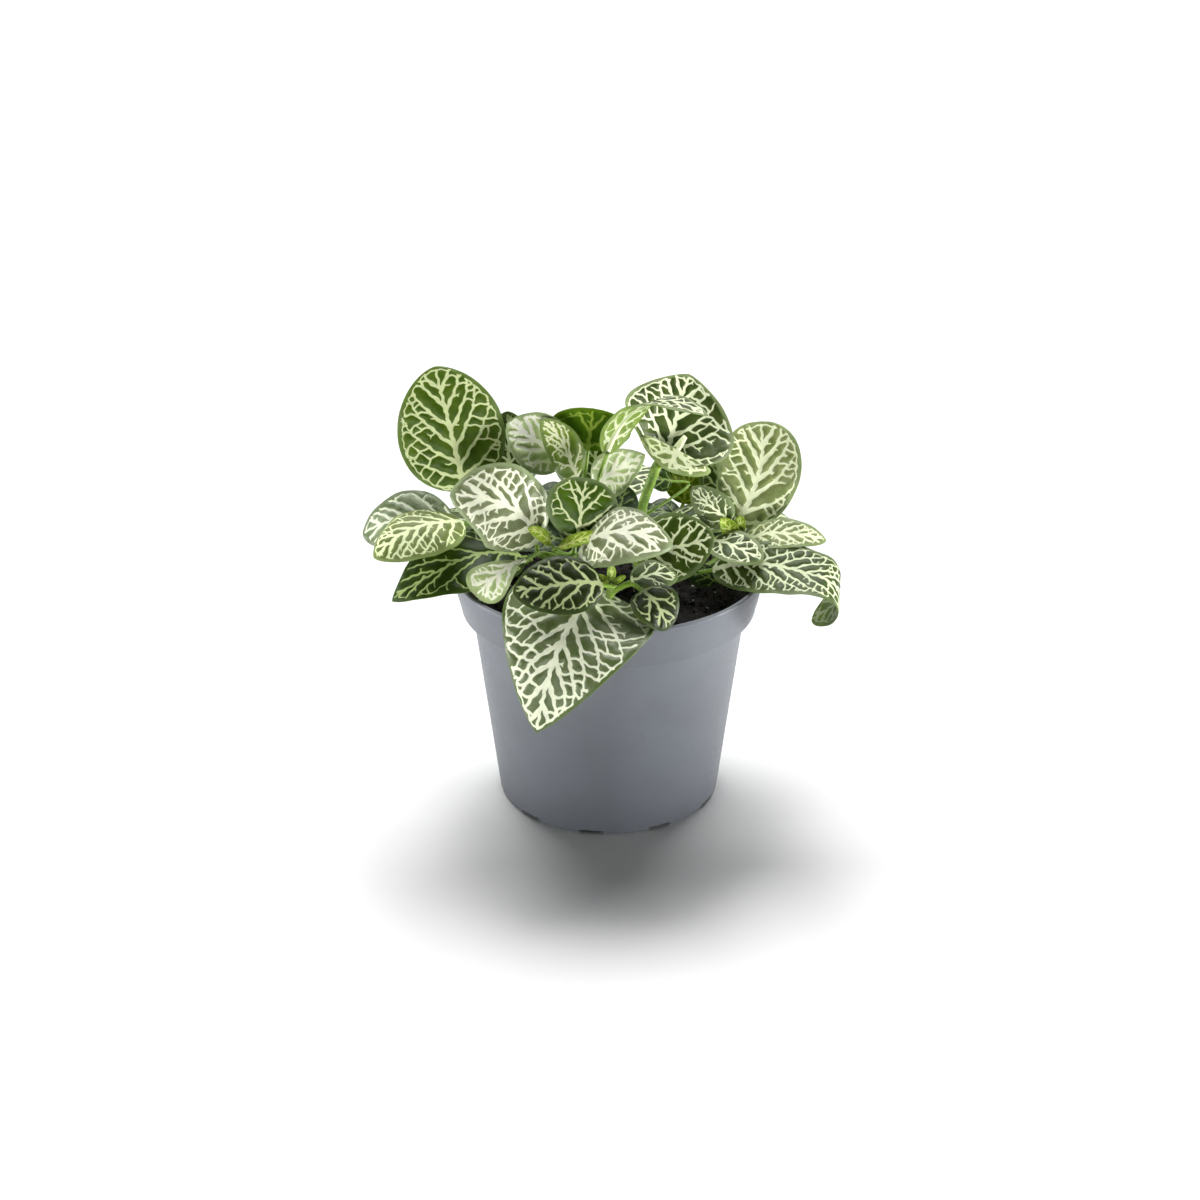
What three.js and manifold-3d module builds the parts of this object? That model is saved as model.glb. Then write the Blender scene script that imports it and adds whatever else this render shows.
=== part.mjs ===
// Nerve plant in a plastic nursery pot. Millimetres, +Z up.
// The origin is the centre of the pot's foot, on the surface that it stands on.
// The side that the plant shows best faces -Y.

import * as THREE from 'three';
import { mergeVertices } from 'three/addons/utils/BufferGeometryUtils.js';
import Module from 'manifold-3d';

const wasm = await Module();
wasm.setup();

// Pot
const POT_HEIGHT = 95;
const LIP_RADIUS = 60;
const LIP_BEAD = 0.9;
const BAND_HEIGHT = 16.8;
const BAND_FOOT_RADIUS = 56.4;
const BODY_TOP_RADIUS = 52.4;
const BODY_FOOT_RADIUS = 43;
const WALL = 1.3;
const FLOOR_THICKNESS = 2.2;
const FOOT_NOTCHES = 10;
const FOOT_NOTCH_WIDTH = 9;
const FOOT_NOTCH_DEPTH = 1.2;
const FOOT_NOTCH_LENGTH = 10;
const FOOT_NOTCH_START = -9;
const DRAIN_HOLE_RADIUS = 3;
const DRAIN_CIRCLE_RADIUS = 36.5;
const POT_SIDES = 40;

// Soil
const SOIL_GAP = 0.4;
const SOIL_LEVEL = 88;
const SOIL_MOUND = 1;
const SOIL_LUMP = 0.7;
const SOIL_SIDES = 32;
const ROOT_DEPTH = 9;
const ROOT_TOP = 91;
const ROOT_GAP = 0.4;

// Leaves and stems
const BLADE_THICKNESS = 0.7;
const BLADE_ROWS = 7;
const BLADE_COLUMNS = 4;
const BUD_ROWS = 4;
const BUD_COLUMNS = 2;
const BLADE_END_WIDTH = 0.9;
const PETIOLE_RADIUS = 0.8;
const BUD_PETIOLE_RADIUS = 0.5;
const PETIOLE_SIDES = 5;
const STEM_SIDES = 7;
const MIDRIB_STEPS = 60;
const MARGIN_WAVES = 1.5;

// Colours
const POT_GREY = '#8d949c';
const SOIL_BROWN = '#241c17';
const LEAF_GREEN = '#4f7a33';

const RADIANS = Math.PI / 180;

function point(values) {
  return new THREE.Vector3(values[0], values[1], values[2]);
}

// The direction that lies at an azimuth from +X and a height above the level, in degrees.
function direction(azimuth, elevation) {
  const level = Math.cos(elevation * RADIANS);
  return new THREE.Vector3(
    level * Math.cos(azimuth * RADIANS),
    level * Math.sin(azimuth * RADIANS),
    Math.sin(elevation * RADIANS),
  );
}

function toSolid(geometry) {
  const plain = geometry.clone();
  plain.deleteAttribute('normal');
  plain.deleteAttribute('uv');
  const merged = mergeVertices(plain, 1e-4);
  return new wasm.Manifold(new wasm.Mesh({
    numProp: 3,
    vertProperties: new Float32Array(merged.attributes.position.array),
    triVerts: new Uint32Array(merged.index.array),
  }));
}

function toGeometry(solid) {
  const mesh = solid.getMesh();
  const geometry = new THREE.BufferGeometry();
  geometry.setAttribute('position', new THREE.BufferAttribute(new Float32Array(mesh.vertProperties), 3));
  geometry.setIndex(new THREE.BufferAttribute(new Uint32Array(mesh.triVerts), 1));
  return geometry;
}

// A turned body round the Z axis, from a profile of radius and height pairs.
function turned(profile, sides) {
  const points = profile.map(([radius, height]) => new THREE.Vector2(radius, height));
  return toSolid(new THREE.LatheGeometry(points, sides).rotateX(Math.PI / 2));
}

function upright(radius, bottom, top, x, y, sides) {
  const cylinder = new THREE.CylinderGeometry(radius, radius, top - bottom, sides);
  return toSolid(cylinder.rotateX(Math.PI / 2).translate(x, y, (top + bottom) / 2));
}

// A round bar along a curve.
function bar(curve, radius, sides, steps) {
  const ring = new THREE.EllipseCurve(0, 0, radius, radius).getPoints(sides).slice(0, sides);
  const section = new THREE.Shape(ring);
  return toSolid(new THREE.ExtrudeGeometry(section, { steps, extrudePath: curve }));
}

// The middle line of a leaf and the way its blade faces there, for u from the stalk at 0 to the tip at 1.
// arch lifts the middle of the line to the upper side and bend moves it to the right-hand side.
// hook turns the end of the blade down, beyond the share of the length given first.
function bladeLine(leaf) {
  const base = point(leaf.base);
  const chord = point(leaf.tip).sub(base);
  const along = chord.clone().normalize();
  const face = direction(...leaf.face);
  const upper = face.addScaledVector(along, -face.dot(along)).normalize();
  const right = new THREE.Vector3().crossVectors(along, upper);
  const [hookStart, hookAngle] = leaf.hook ?? [1, 0];
  const velocity = (u) => chord.clone()
    .addScaledVector(upper, (leaf.arch ?? 0) * 4 * (1 - 2 * u))
    .addScaledVector(right, (leaf.bend ?? 0) * 4 * (1 - 2 * u));
  const frame = (u) => {
    const tangent = velocity(u).normalize();
    const normal = upper.clone().addScaledVector(tangent, -upper.dot(tangent)).normalize();
    const side = new THREE.Vector3().crossVectors(tangent, normal);
    if (u > hookStart) {
      const share = Math.min(1, (u - hookStart) / (1 - hookStart) * 1.6);
      const turn = -hookAngle * RADIANS * share * share * (3 - 2 * share);
      tangent.applyAxisAngle(side, turn);
      normal.applyAxisAngle(side, turn);
    }
    const twist = (leaf.twist ?? 0) * (u - 0.5);
    normal.applyAxisAngle(tangent, twist * RADIANS);
    side.crossVectors(tangent, normal);
    return { tangent, normal, side };
  };
  const line = [base];
  for (let step = 0; step < MIDRIB_STEPS; step += 1) {
    const u = (step + 0.5) / MIDRIB_STEPS;
    const advance = velocity(u).length() / MIDRIB_STEPS;
    line.push(line[step].clone().addScaledVector(frame(u).tangent, advance));
  }
  const centre = (u) => {
    const place = Math.min(u * MIDRIB_STEPS, MIDRIB_STEPS - 1e-9);
    const step = Math.floor(place);
    return line[step].clone().lerp(line[step + 1], place - step);
  };
  return { frame, centre };
}

// Half the blade's width at u: an oval, blunt at the stalk and more pointed at the tip.
function halfWidth(leaf, u) {
  const [stalkEnd, tipEnd] = leaf.oval ?? [0.5, 0.62];
  const widest = stalkEnd / (stalkEnd + tipEnd);
  const scale = widest ** stalkEnd * (1 - widest) ** tipEnd;
  const oval = leaf.width / 2 * u ** stalkEnd * (1 - u) ** tipEnd / scale;
  return Math.max(oval, BLADE_END_WIDTH / 2);
}

// A point of the blade: v runs from -1 at the left edge to 1 at the right edge, and height is measured
// square to the blade. curl bends each side up, baseCurl adds to it near the stalk, and wave is how far
// the margins swing up and down.
function bladePoint(leaf, line, u, v, height) {
  const { normal, side } = line.frame(u);
  const edge = v > 0 ? 1 : 0;
  const baseCurl = (leaf.baseCurl ?? [0, 0])[edge];
  const curl = ((leaf.curl ?? [0, 0])[edge] + baseCurl * (1 - u) ** 2) * RADIANS;
  const half = halfWidth(leaf, u);
  const reach = Math.abs(v);
  const flat = Math.abs(curl) < 1e-3;
  const out = flat ? half * reach : half * Math.sin(curl * reach) / curl;
  const swing = Math.sin(2 * Math.PI * MARGIN_WAVES * u + (v > 0 ? 1.3 : 0));
  const wave = (leaf.wave ?? 0) * swing * v * v * half / leaf.width * 2;
  const rise = (flat ? 0 : half * (1 - Math.cos(curl * reach)) / curl) + wave;
  const lean = curl * reach;
  const sign = Math.sign(v);
  return line.centre(u)
    .addScaledVector(side, sign * (out - height * Math.sin(lean)))
    .addScaledVector(normal, rise + height * Math.cos(lean));
}

// The blade is a thin lattice, wrapped round so that both faces are split into the same triangles.
function bladeSolid(leaf, line, rows, columns) {
  const lattice = new THREE.PlaneGeometry(1, 1, columns, rows);
  const places = lattice.attributes.position;
  const count = places.count;
  const positions = [];
  for (const height of [BLADE_THICKNESS / 2, -BLADE_THICKNESS / 2]) {
    for (let index = 0; index < count; index += 1) {
      const u = (1 - Math.cos(Math.PI * (places.getY(index) + 0.5))) / 2;
      const v = places.getX(index) * 2;
      positions.push(...bladePoint(leaf, line, u, v, height).toArray());
    }
  }
  const upper = Array.from(lattice.index.array);
  const lower = [];
  for (let corner = 0; corner < upper.length; corner += 3) {
    lower.push(upper[corner] + count, upper[corner + 2] + count, upper[corner + 1] + count);
  }
  const rim = [];
  for (let column = 0; column <= columns; column += 1) rim.push(column);
  for (let row = 1; row <= rows; row += 1) rim.push(row * (columns + 1) + columns);
  for (let column = columns - 1; column >= 0; column -= 1) rim.push(rows * (columns + 1) + column);
  for (let row = rows - 1; row > 0; row -= 1) rim.push(row * (columns + 1));
  const edge = [];
  rim.forEach((here, index) => {
    const next = rim[(index + 1) % rim.length];
    edge.push(here, next, next + count, here, next + count, here + count);
  });
  const geometry = new THREE.BufferGeometry();
  geometry.setAttribute('position', new THREE.BufferAttribute(new Float32Array(positions), 3));
  geometry.setIndex([...upper, ...lower, ...edge]);
  return toSolid(geometry);
}

// A leaf is its blade and the stalk that runs from inside the stem to just under the blade.
function leafSolid(leaf) {
  const line = bladeLine(leaf);
  const [rows, columns] = leaf.bud ? [BUD_ROWS, BUD_COLUMNS] : [BLADE_ROWS, BLADE_COLUMNS];
  const blade = bladeSolid(leaf, line, rows, columns);
  const radius = leaf.bud ? BUD_PETIOLE_RADIUS : leaf.stalk ?? PETIOLE_RADIUS;
  const start = point(leaf.from);
  const root = line.frame(0);
  const under = (u) => line.centre(u).addScaledVector(line.frame(u).normal, -radius * 0.6);
  const reach = start.distanceTo(under(0));
  const bendPoint = under(0).addScaledVector(root.tangent, -reach * 0.4);
  const stalk = new THREE.CatmullRomCurve3([start, bendPoint, under(0), under(leaf.bud ? 0.25 : 0.12)]);
  return blade.add(bar(stalk, radius, PETIOLE_SIDES, 3));
}

// A stem: upright in its hole in the soil, then along the points given.
function stemSolid(stem) {
  const [x, y] = stem.path[0];
  const root = upright(stem.radius, SOIL_LEVEL - ROOT_DEPTH, ROOT_TOP, x, y, STEM_SIDES);
  const path = [[x, y, ROOT_TOP - 1], ...stem.path.slice(1)].map(point);
  return root.add(bar(new THREE.CatmullRomCurve3(path), stem.radius, STEM_SIDES, 4));
}

// Leafy stems. Each leaf starts at "from" on its stem, and its blade runs from base to tip.
const LEAFY_STEMS = {
  shoot_front_left: {
    radius: 1.7,
    path: [[-10, -20], [-11, -23, 99], [-13, -29, 112]],
    leaves: [
      {
        from: [-12, -27, 109], base: [-26, -31, 117], tip: [-57, -35, 137.5], face: [-80, 55], width: 34,
        arch: 9, bend: 2, curl: [-60, 10], oval: [0.45, 0.62], wave: 0.6,
      },
      {
        from: [-13, -29, 111], base: [-12, -28, 117], tip: [-8, -20, 138], face: [-90, 15], width: 26,
        arch: 2, curl: [10, 10], oval: [0.6, 0.5],
      },
      {
        from: [-13, -28, 110], base: [-11, -33, 114], tip: [23, -42, 121], face: [-80, 62], width: 28,
        arch: 10, curl: [-20, -20],
      },
      {
        from: [-12, -26, 106], base: [-30, -38, 114], tip: [-47.5, -52, 105.5], face: [-100, 55], width: 17,
        arch: 3, curl: [10, 10], oval: [1.7, 0.45],
      },
      {
        from: [-13, -29, 111], base: [-21, -33, 118], tip: [-29, -36, 125], face: [-90, 60], width: 6,
        arch: 1, bud: true,
      },
      {
        from: [-13, -29, 111], base: [-18, -33, 116], tip: [-2, -35, 122], face: [-90, 60], width: 6,
        arch: 1, curl: [30, 30], bud: true,
      },
    ],
  },
  shoot_front: {
    radius: 1.6,
    path: [[0, -36], [0, -39, 97], [1, -44, 106]],
    leaves: [
      {
        from: [1, -43, 104], base: [-2, -52, 110], tip: [-34, -58, 110], face: [-88, 48], width: 23,
        arch: 4, curl: [-10, -10],
      },
      {
        from: [0, -38, 94], base: [-4, -38, 102], tip: [-26, -74, 62], face: [-82, 42], width: 56,
        arch: 17, bend: 4, curl: [28, -42], oval: [0.24, 0.8], wave: 0.6,
      },
      {
        from: [1, -43, 103], base: [12, -50, 107], tip: [21, -58, 95], face: [-60, 60], width: 20,
        arch: 3, oval: [0.4, 0.62],
      },
      {
        from: [0, -40, 99], base: [8, -40, 106], tip: [25, -36, 106], face: [-90, 70], width: 15,
        arch: 2,
      },
      {
        from: [1, -43, 104], base: [0, -45, 108], tip: [-4, -46, 111], face: [-90, 60], width: 3,
        bud: true,
      },
      {
        from: [1, -43, 104], base: [2, -45, 108], tip: [6, -47, 111], face: [-90, 60], width: 3,
        bud: true,
      },
      {
        from: [1, -43, 104], base: [1, -44, 108], tip: [1, -43, 114], face: [-90, 30], width: 3,
        bud: true,
      },
      {
        from: [1, -43, 104], base: [1, -46, 107], tip: [2, -51, 109], face: [-90, 80], width: 3,
        bud: true,
      },
    ],
  },
  shoot_right: {
    radius: 1.7,
    path: [[40, 6], [43, 4, 98], [46, 1, 108]],
    leaves: [
      {
        from: [46, 2, 105], base: [49, 8, 107], tip: [58, 26, 142], face: [-80, 25], width: 32,
        arch: 3, bend: 3, curl: [5, 5], oval: [0.52, 0.42], wave: 0.8,
      },
      {
        from: [45, 1, 104], base: [50, -2, 104], tip: [81.5, -8, 107.5], face: [-90, 65], width: 15,
        arch: 5,
      },
      {
        from: [46, 1, 106], base: [46, 0, 111], tip: [31, -2, 126.5], face: [-110, 35], width: 13,
        arch: 3,
      },
      {
        from: [43, 3, 100], base: [38, -8, 107.5], tip: [57, -20, 104.5], face: [-75, 65], width: 17,
        arch: 2,
      },
      {
        from: [42, 4, 95], base: [39, -12, 97.5], tip: [106, -34, 92.5], face: [-80, 72], width: 26,
        arch: 8, twist: -55, hook: [0.56, 105], oval: [0.5, 0.62],
      },
      {
        from: [41, 5, 92], base: [40, -12, 93], tip: [30, -10, 96], face: [-90, 50], width: 10,
        bud: true,
      },
      {
        from: [46, 1, 105], base: [48, -3, 107], tip: [42, -6, 116], face: [-90, 20], width: 7,
        curl: [50, 50], bud: true,
      },
      {
        from: [46, 1, 105], base: [48, -2, 107], tip: [50, -2, 115], face: [-90, 20], width: 6,
        curl: [50, 50], bud: true,
      },
      {
        from: [43, 4, 96], base: [50, 14, 100], tip: [70, 28, 101], face: [-60, 75], width: 18,
        arch: 4,
      },
    ],
  },
  shoot_middle_right: {
    radius: 2,
    path: [[12, 9], [12.5, 9, 112], [18, 10, 130]],
    leaves: [
      {
        from: [17, 10, 127], base: [19, 12.5, 131], tip: [30.5, 33, 158.5], face: [-72, 30], width: 50,
        bend: 1, curl: [10, 15], baseCurl: [85, 80], oval: [0.34, 0.75], stalk: 1.8,
      },
      {
        from: [13, 9, 110], base: [24, 20, 120], tip: [15, 18, 122], face: [-90, 50], width: 10,
        bud: true,
      },
      {
        from: [12.5, 9, 100], base: [22, 14, 104], tip: [45, 14, 103], face: [-90, 75], width: 18,
        arch: 4,
      },
      {
        from: [13, 9, 97], base: [9, 4, 101], tip: [-2, -12, 102], face: [-90, 78], width: 16,
        arch: 3,
      },
      {
        from: [17, 10, 127], base: [26, 7, 138], tip: [22, 4, 131], face: [-95, 20], width: 30,
        curl: [-25, -25], oval: [0.15, 0.6],
      },
    ],
  },
  shoot_middle_left: {
    radius: 1.8,
    path: [[-8, 14], [-9, 15, 104], [-10, 16, 120]],
    leaves: [
      {
        from: [-10, 16, 118], base: [-8, 24, 131], tip: [-6, 32, 145], face: [-90, 10], width: 31,
        oval: [0.6, 0.5],
      },
      {
        from: [-10, 16, 115], base: [-18, 18, 127], tip: [-38.5, 24, 142.5], face: [-105, 52], width: 23,
        arch: 5, curl: [0, 30], oval: [0.55, 0.75],
      },
      {
        from: [-10, 16, 119], base: [-12, 14, 124], tip: [-25, 18, 146], face: [-60, 40], width: 16,
        arch: 3,
      },
      {
        from: [-9, 15, 112], base: [-5, 2, 124], tip: [13.5, 5, 137], face: [-110, 50], width: 19,
        arch: 3, oval: [0.45, 0.8],
      },
      {
        from: [-9, 15, 108], base: [-1, -2, 139.9], tip: [36, -12, 159.2], face: [90, 72], width: 19,
        arch: 12, twist: 65, oval: [0.55, 0.8],
      },
      { from: [-8, 14, 98], base: [3, 6, 112], tip: [7, 9, 122.5], face: [-90, 20], width: 13 },
      {
        from: [-8, 14, 95], base: [-17, 13, 98], tip: [-42, 8, 98], face: [-90, 75], width: 20,
        arch: 4,
      },
    ],
  },
  shoot_left: {
    radius: 1.8,
    path: [[-36, 0], [-43, -1, 100], [-53, -3, 114]],
    leaves: [
      {
        from: [-52, -3, 113], base: [-54, 2, 124], tip: [-65, 18, 167], face: [-86, 25], width: 40,
        arch: 2, wave: 0.8,
      },
      {
        from: [-52, -3, 112], base: [-58, -2, 112], tip: [-93, 0, 107], face: [-90, 55], width: 26,
        arch: 6,
      },
      {
        from: [-51, -3, 111], base: [-54, -14, 118], tip: [-85.5, -34, 112.5], face: [-100, 68], width: 27,
        arch: 6, curl: [-30, -30],
      },
      {
        from: [-38, -1, 92], base: [-33, -10, 102], tip: [-80, -30, 93], face: [-95, 62], width: 30,
        arch: 10, oval: [0.5, 0.8], wave: 0.8,
      },
      {
        from: [-43, -1, 99], base: [-46, 10, 102], tip: [-62, 29, 104], face: [120, 72], width: 20,
        arch: 4,
      },
    ],
  },
  shoot_middle: {
    radius: 1.5,
    path: [[14, -14], [12, -13, 95], [10, -12, 102]],
    leaves: [
      {
        from: [10, -12, 100], base: [12, -12, 103], tip: [39, -17, 113], face: [-80, 42], width: 27,
        oval: [0.42, 0.62],
      },
    ],
  },
  shoot_back_left: {
    radius: 1.7,
    path: [[-28, 28], [-31, 32, 99], [-34, 36, 110]],
    leaves: [
      { from: [-34, 35, 108], base: [-38, 28, 120], tip: [-39, 34, 143], face: [-90, 20], width: 18 },
      {
        from: [-34, 35, 107], base: [-42, 36, 110], tip: [-72, 56, 116], face: [110, 60], width: 30,
        arch: 8, wave: 0.8,
      },
      {
        from: [-34, 36, 108], base: [-36, 42, 108], tip: [-50, 76, 102], face: [110, 60], width: 28,
        arch: 8,
      },
    ],
  },
  shoot_back: {
    radius: 1.7,
    path: [[0, 34], [-2, 37, 98], [-4, 40, 106]],
    leaves: [
      {
        from: [-4, 40, 104], base: [-9, 44, 104], tip: [-14, 82, 98], face: [90, 60], width: 24,
        arch: 8,
      },
      {
        from: [-3, 39, 103], base: [3, 43, 103], tip: [22, 80, 96], face: [60, 60], width: 26,
        arch: 8,
      },
      { from: [-4, 40, 105], base: [-4, 36, 110], tip: [-6, 44, 128], face: [-90, 20], width: 18 },
      {
        from: [-3, 39, 100], base: [-10, 33, 106], tip: [-30, 24, 108], face: [-90, 72], width: 19,
        arch: 3,
      },
    ],
  },
  shoot_back_right: {
    radius: 1.7,
    path: [[34, 28], [36, 29, 97], [38, 30, 106]],
    leaves: [
      { from: [36, 29, 101], base: [29, 26, 108], tip: [33, 30, 126], face: [-90, 10], width: 18 },
      { from: [38, 30, 104], base: [43, 24, 110], tip: [41, 30, 127], face: [-90, 20], width: 14 },
      {
        from: [38, 30, 104], base: [44, 34, 106], tip: [72, 56, 104], face: [60, 60], width: 28,
        arch: 8, wave: 0.8,
      },
      {
        from: [38, 30, 103], base: [38, 38, 104], tip: [46, 74, 98], face: [80, 60], width: 26,
        arch: 7,
      },
      {
        from: [36, 29, 98], base: [29, 24, 102], tip: [13, 25, 103], face: [-90, 72], width: 16,
        arch: 3,
      },
    ],
  },
};

// The pot: a thin wall with a stepped band at the top, a beaded lip, and a flat floor with a notch and
// a drain hole at each of the places round its edge.
function potSolid() {
  const bandFoot = POT_HEIGHT - BAND_HEIGHT;
  const lip = [];
  for (let step = 0; step <= 5; step += 1) {
    const turn = (-50 + step * 50) * RADIANS;
    const radius = LIP_RADIUS - LIP_BEAD + LIP_BEAD * Math.cos(turn);
    lip.push([radius, POT_HEIGHT - LIP_BEAD + LIP_BEAD * Math.sin(turn)]);
  }
  const bandTopInside = LIP_RADIUS - WALL - 0.9;
  const profile = [
    [0, 0],
    [BODY_FOOT_RADIUS - 0.4, 0],
    [BODY_FOOT_RADIUS, 0.6],
    [BODY_TOP_RADIUS, bandFoot],
    [BAND_FOOT_RADIUS - 0.3, bandFoot],
    [BAND_FOOT_RADIUS, bandFoot + 0.5],
    ...lip,
    [bandTopInside, POT_HEIGHT - 2.4],
    [BAND_FOOT_RADIUS - WALL, bandFoot + WALL],
    [BODY_TOP_RADIUS - WALL, bandFoot + WALL],
    [BODY_FOOT_RADIUS - WALL + 0.2, FLOOR_THICKNESS],
    [0, FLOOR_THICKNESS],
  ];
  let pot = turned(profile, POT_SIDES);
  for (let notch = 0; notch < FOOT_NOTCHES; notch += 1) {
    const angle = (-90 + FOOT_NOTCH_START + notch * 360 / FOOT_NOTCHES) * RADIANS;
    const cutter = new THREE.BoxGeometry(FOOT_NOTCH_LENGTH * 2, FOOT_NOTCH_WIDTH, FOOT_NOTCH_DEPTH * 2);
    pot = pot.subtract(toSolid(cutter.translate(BODY_FOOT_RADIUS, 0, 0).rotateZ(angle)));
    const x = DRAIN_CIRCLE_RADIUS * Math.cos(angle);
    const y = DRAIN_CIRCLE_RADIUS * Math.sin(angle);
    pot = pot.subtract(upright(DRAIN_HOLE_RADIUS, -1, FLOOR_THICKNESS + 1, x, y, 10));
  }
  return pot;
}

// Low lumps of the soil's surface at a place.
function soilLump(x, y) {
  const fine = Math.sin(x * 0.31 + 1.1) * Math.cos(y * 0.27 - 0.4);
  const broad = Math.sin(x * 0.13 - y * 0.19);
  return SOIL_LUMP * (fine + 0.6 * broad);
}

// The soil fills the pot, a gap away from its wall, and has a plain hole for each stem.
function soilSolid() {
  const bandFoot = POT_HEIGHT - BAND_HEIGHT;
  const slope = (LIP_RADIUS - BAND_FOOT_RADIUS) / BAND_HEIGHT;
  const rimRadius = BAND_FOOT_RADIUS - WALL - SOIL_GAP + (SOIL_LEVEL - bandFoot) * slope * 0.5;
  const profile = [
    [0, FLOOR_THICKNESS + SOIL_GAP],
    [BODY_FOOT_RADIUS - WALL - SOIL_GAP, FLOOR_THICKNESS + SOIL_GAP],
    [BODY_TOP_RADIUS - WALL - SOIL_GAP, bandFoot + WALL + SOIL_GAP],
    [BAND_FOOT_RADIUS - WALL - SOIL_GAP - 0.1, bandFoot + WALL + SOIL_GAP],
    [rimRadius, SOIL_LEVEL - 0.5],
    [45, SOIL_LEVEL],
    [33, SOIL_LEVEL],
    [20, SOIL_LEVEL],
    [9, SOIL_LEVEL],
    [0, SOIL_LEVEL],
  ];
  const points = profile.map(([radius, height]) => new THREE.Vector2(radius, height));
  const body = new THREE.LatheGeometry(points, SOIL_SIDES).rotateX(Math.PI / 2);
  const places = body.attributes.position;
  for (let index = 0; index < places.count; index += 1) {
    if (places.getZ(index) < SOIL_LEVEL - 0.1) continue;
    const x = places.getX(index);
    const y = places.getY(index);
    const mound = SOIL_MOUND * (1 - (x * x + y * y) / (rimRadius * rimRadius));
    places.setZ(index, SOIL_LEVEL + mound + soilLump(x, y));
  }
  let soil = toSolid(body);
  for (const stem of Object.values(LEAFY_STEMS)) {
    const [x, y] = stem.path[0];
    const bottom = SOIL_LEVEL - ROOT_DEPTH - ROOT_GAP;
    soil = soil.subtract(upright(stem.radius + ROOT_GAP, bottom, SOIL_LEVEL + 8, x, y, 10));
  }
  return soil;
}

function shootSolid(shoot) {
  return shoot.leaves.reduce((solid, leaf) => solid.add(leafSolid(leaf)), stemSolid(shoot));
}

const plant = new THREE.Group();

function addPiece(name, solid, color, roughness) {
  const material = new THREE.MeshStandardMaterial({ color, roughness, metalness: 0 });
  const mesh = new THREE.Mesh(toGeometry(solid), material);
  mesh.name = name;
  plant.add(mesh);
}

addPiece('pot', potSolid(), POT_GREY, 0.6);
addPiece('soil', soilSolid(), SOIL_BROWN, 0.95);
for (const [name, shoot] of Object.entries(LEAFY_STEMS)) {
  addPiece(name, shootSolid(shoot), LEAF_GREEN, 0.45);
}

export default plant;
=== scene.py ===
# Nerve plant in a plastic nursery pot: the dressed model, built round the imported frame.
# Metres, +Z up. Sizes named in millimetres are turned into metres by MM.
import math
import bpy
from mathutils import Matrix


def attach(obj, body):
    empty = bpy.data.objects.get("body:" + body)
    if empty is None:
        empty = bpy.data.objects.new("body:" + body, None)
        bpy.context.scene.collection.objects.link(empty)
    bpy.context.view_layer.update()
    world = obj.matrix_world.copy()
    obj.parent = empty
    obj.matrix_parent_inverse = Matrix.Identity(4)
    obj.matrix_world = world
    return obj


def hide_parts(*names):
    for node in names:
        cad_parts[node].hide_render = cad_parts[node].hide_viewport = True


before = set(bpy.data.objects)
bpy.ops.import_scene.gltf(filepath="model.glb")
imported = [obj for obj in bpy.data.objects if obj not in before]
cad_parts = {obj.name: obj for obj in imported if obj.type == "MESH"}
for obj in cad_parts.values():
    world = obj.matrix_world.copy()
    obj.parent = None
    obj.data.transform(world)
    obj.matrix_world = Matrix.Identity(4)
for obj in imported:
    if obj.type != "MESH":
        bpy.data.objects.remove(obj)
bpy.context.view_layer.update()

from types import SimpleNamespace

import bmesh
import bpy
import numpy as np
from mathutils import Vector, noise

MM = 0.001

# Camera, fitted to the ellipses of the pot in the photograph
CAMERA_DISTANCE = 0.9
CAMERA_DOWN = 26.85
CAMERA_TARGET_HEIGHT = 0.06
CAMERA_LENS = 69.67
CAMERA_SHIFT = (-0.00725, 0.03675)

# Floor and light. A sun has a name, a strength, a spread in degrees and the way towards it. A spot has a
# name, a place, the place that it lights, a power, a cone in degrees and a softness.
FLOOR_REACH = 12
WORLD_LIGHT = 0.04
EXPOSURE = 0.15
SUNS = (
    ("sun_left", 2.2, 36, (-0.27, 0.62, 1.0)),
    ("sun_right", 1.95, 36, (0.2, 0.64, 1.0)),
)
SPOT_BLEND = 0.4
SPOTS = (
    ("left", (-1.1, 0.04, 0.04), (0, 0, 0.1), 66, 15, 0.12),
    ("right", (1.1, 0.0, 0.04), (0, 0, 0.1), 102, 15, 0.12),
    ("front", (0.0, -1.2, 0.05), (0, 0, 0.125), 69, 18, 0.2),
    ("foot", (0.0, -1.2, 0.025), (0, -0.043, -0.03), 16, 9, 0.06),
)

# Pot, in millimetres
POT_HEIGHT = 95
LIP_RADIUS = 60
LIP_BEAD = 0.9
FOOT_ROUND = 0.8
BAND_ROUND = 0.5
BAND_HEIGHT = 16.8
BAND_FOOT = POT_HEIGHT - BAND_HEIGHT
BAND_FOOT_RADIUS = 56.4
BODY_TOP_RADIUS = 52.4
BODY_FOOT_RADIUS = 43
WALL = 1.3
FLOOR_THICKNESS = 2.2
FOOT_NOTCHES = 10
FOOT_NOTCH_WIDTH = 9
FOOT_NOTCH_DEPTH = 1.6
FOOT_NOTCH_LENGTH = 10
FOOT_NOTCH_START = -9
DRAIN_HOLE_RADIUS = 3
DRAIN_CIRCLE_RADIUS = 36.5
POT_SIDES = 240

# Soil, in millimetres
SOIL_LEVEL = 88
SOIL_MOUND = 1
SOIL_LUMP = 0.7
SOIL_GRAIN = 0.9
SOIL_GAP = 0.4
SOIL_RINGS = 90
SOIL_SIDES = 260
CRUMBS = 900
FIBRES = 330
PERLITES = 90
FIBRE_RADIUS = 0.09
SCATTER_SHARE = 0.985
LITTER_SEED = 41

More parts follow.
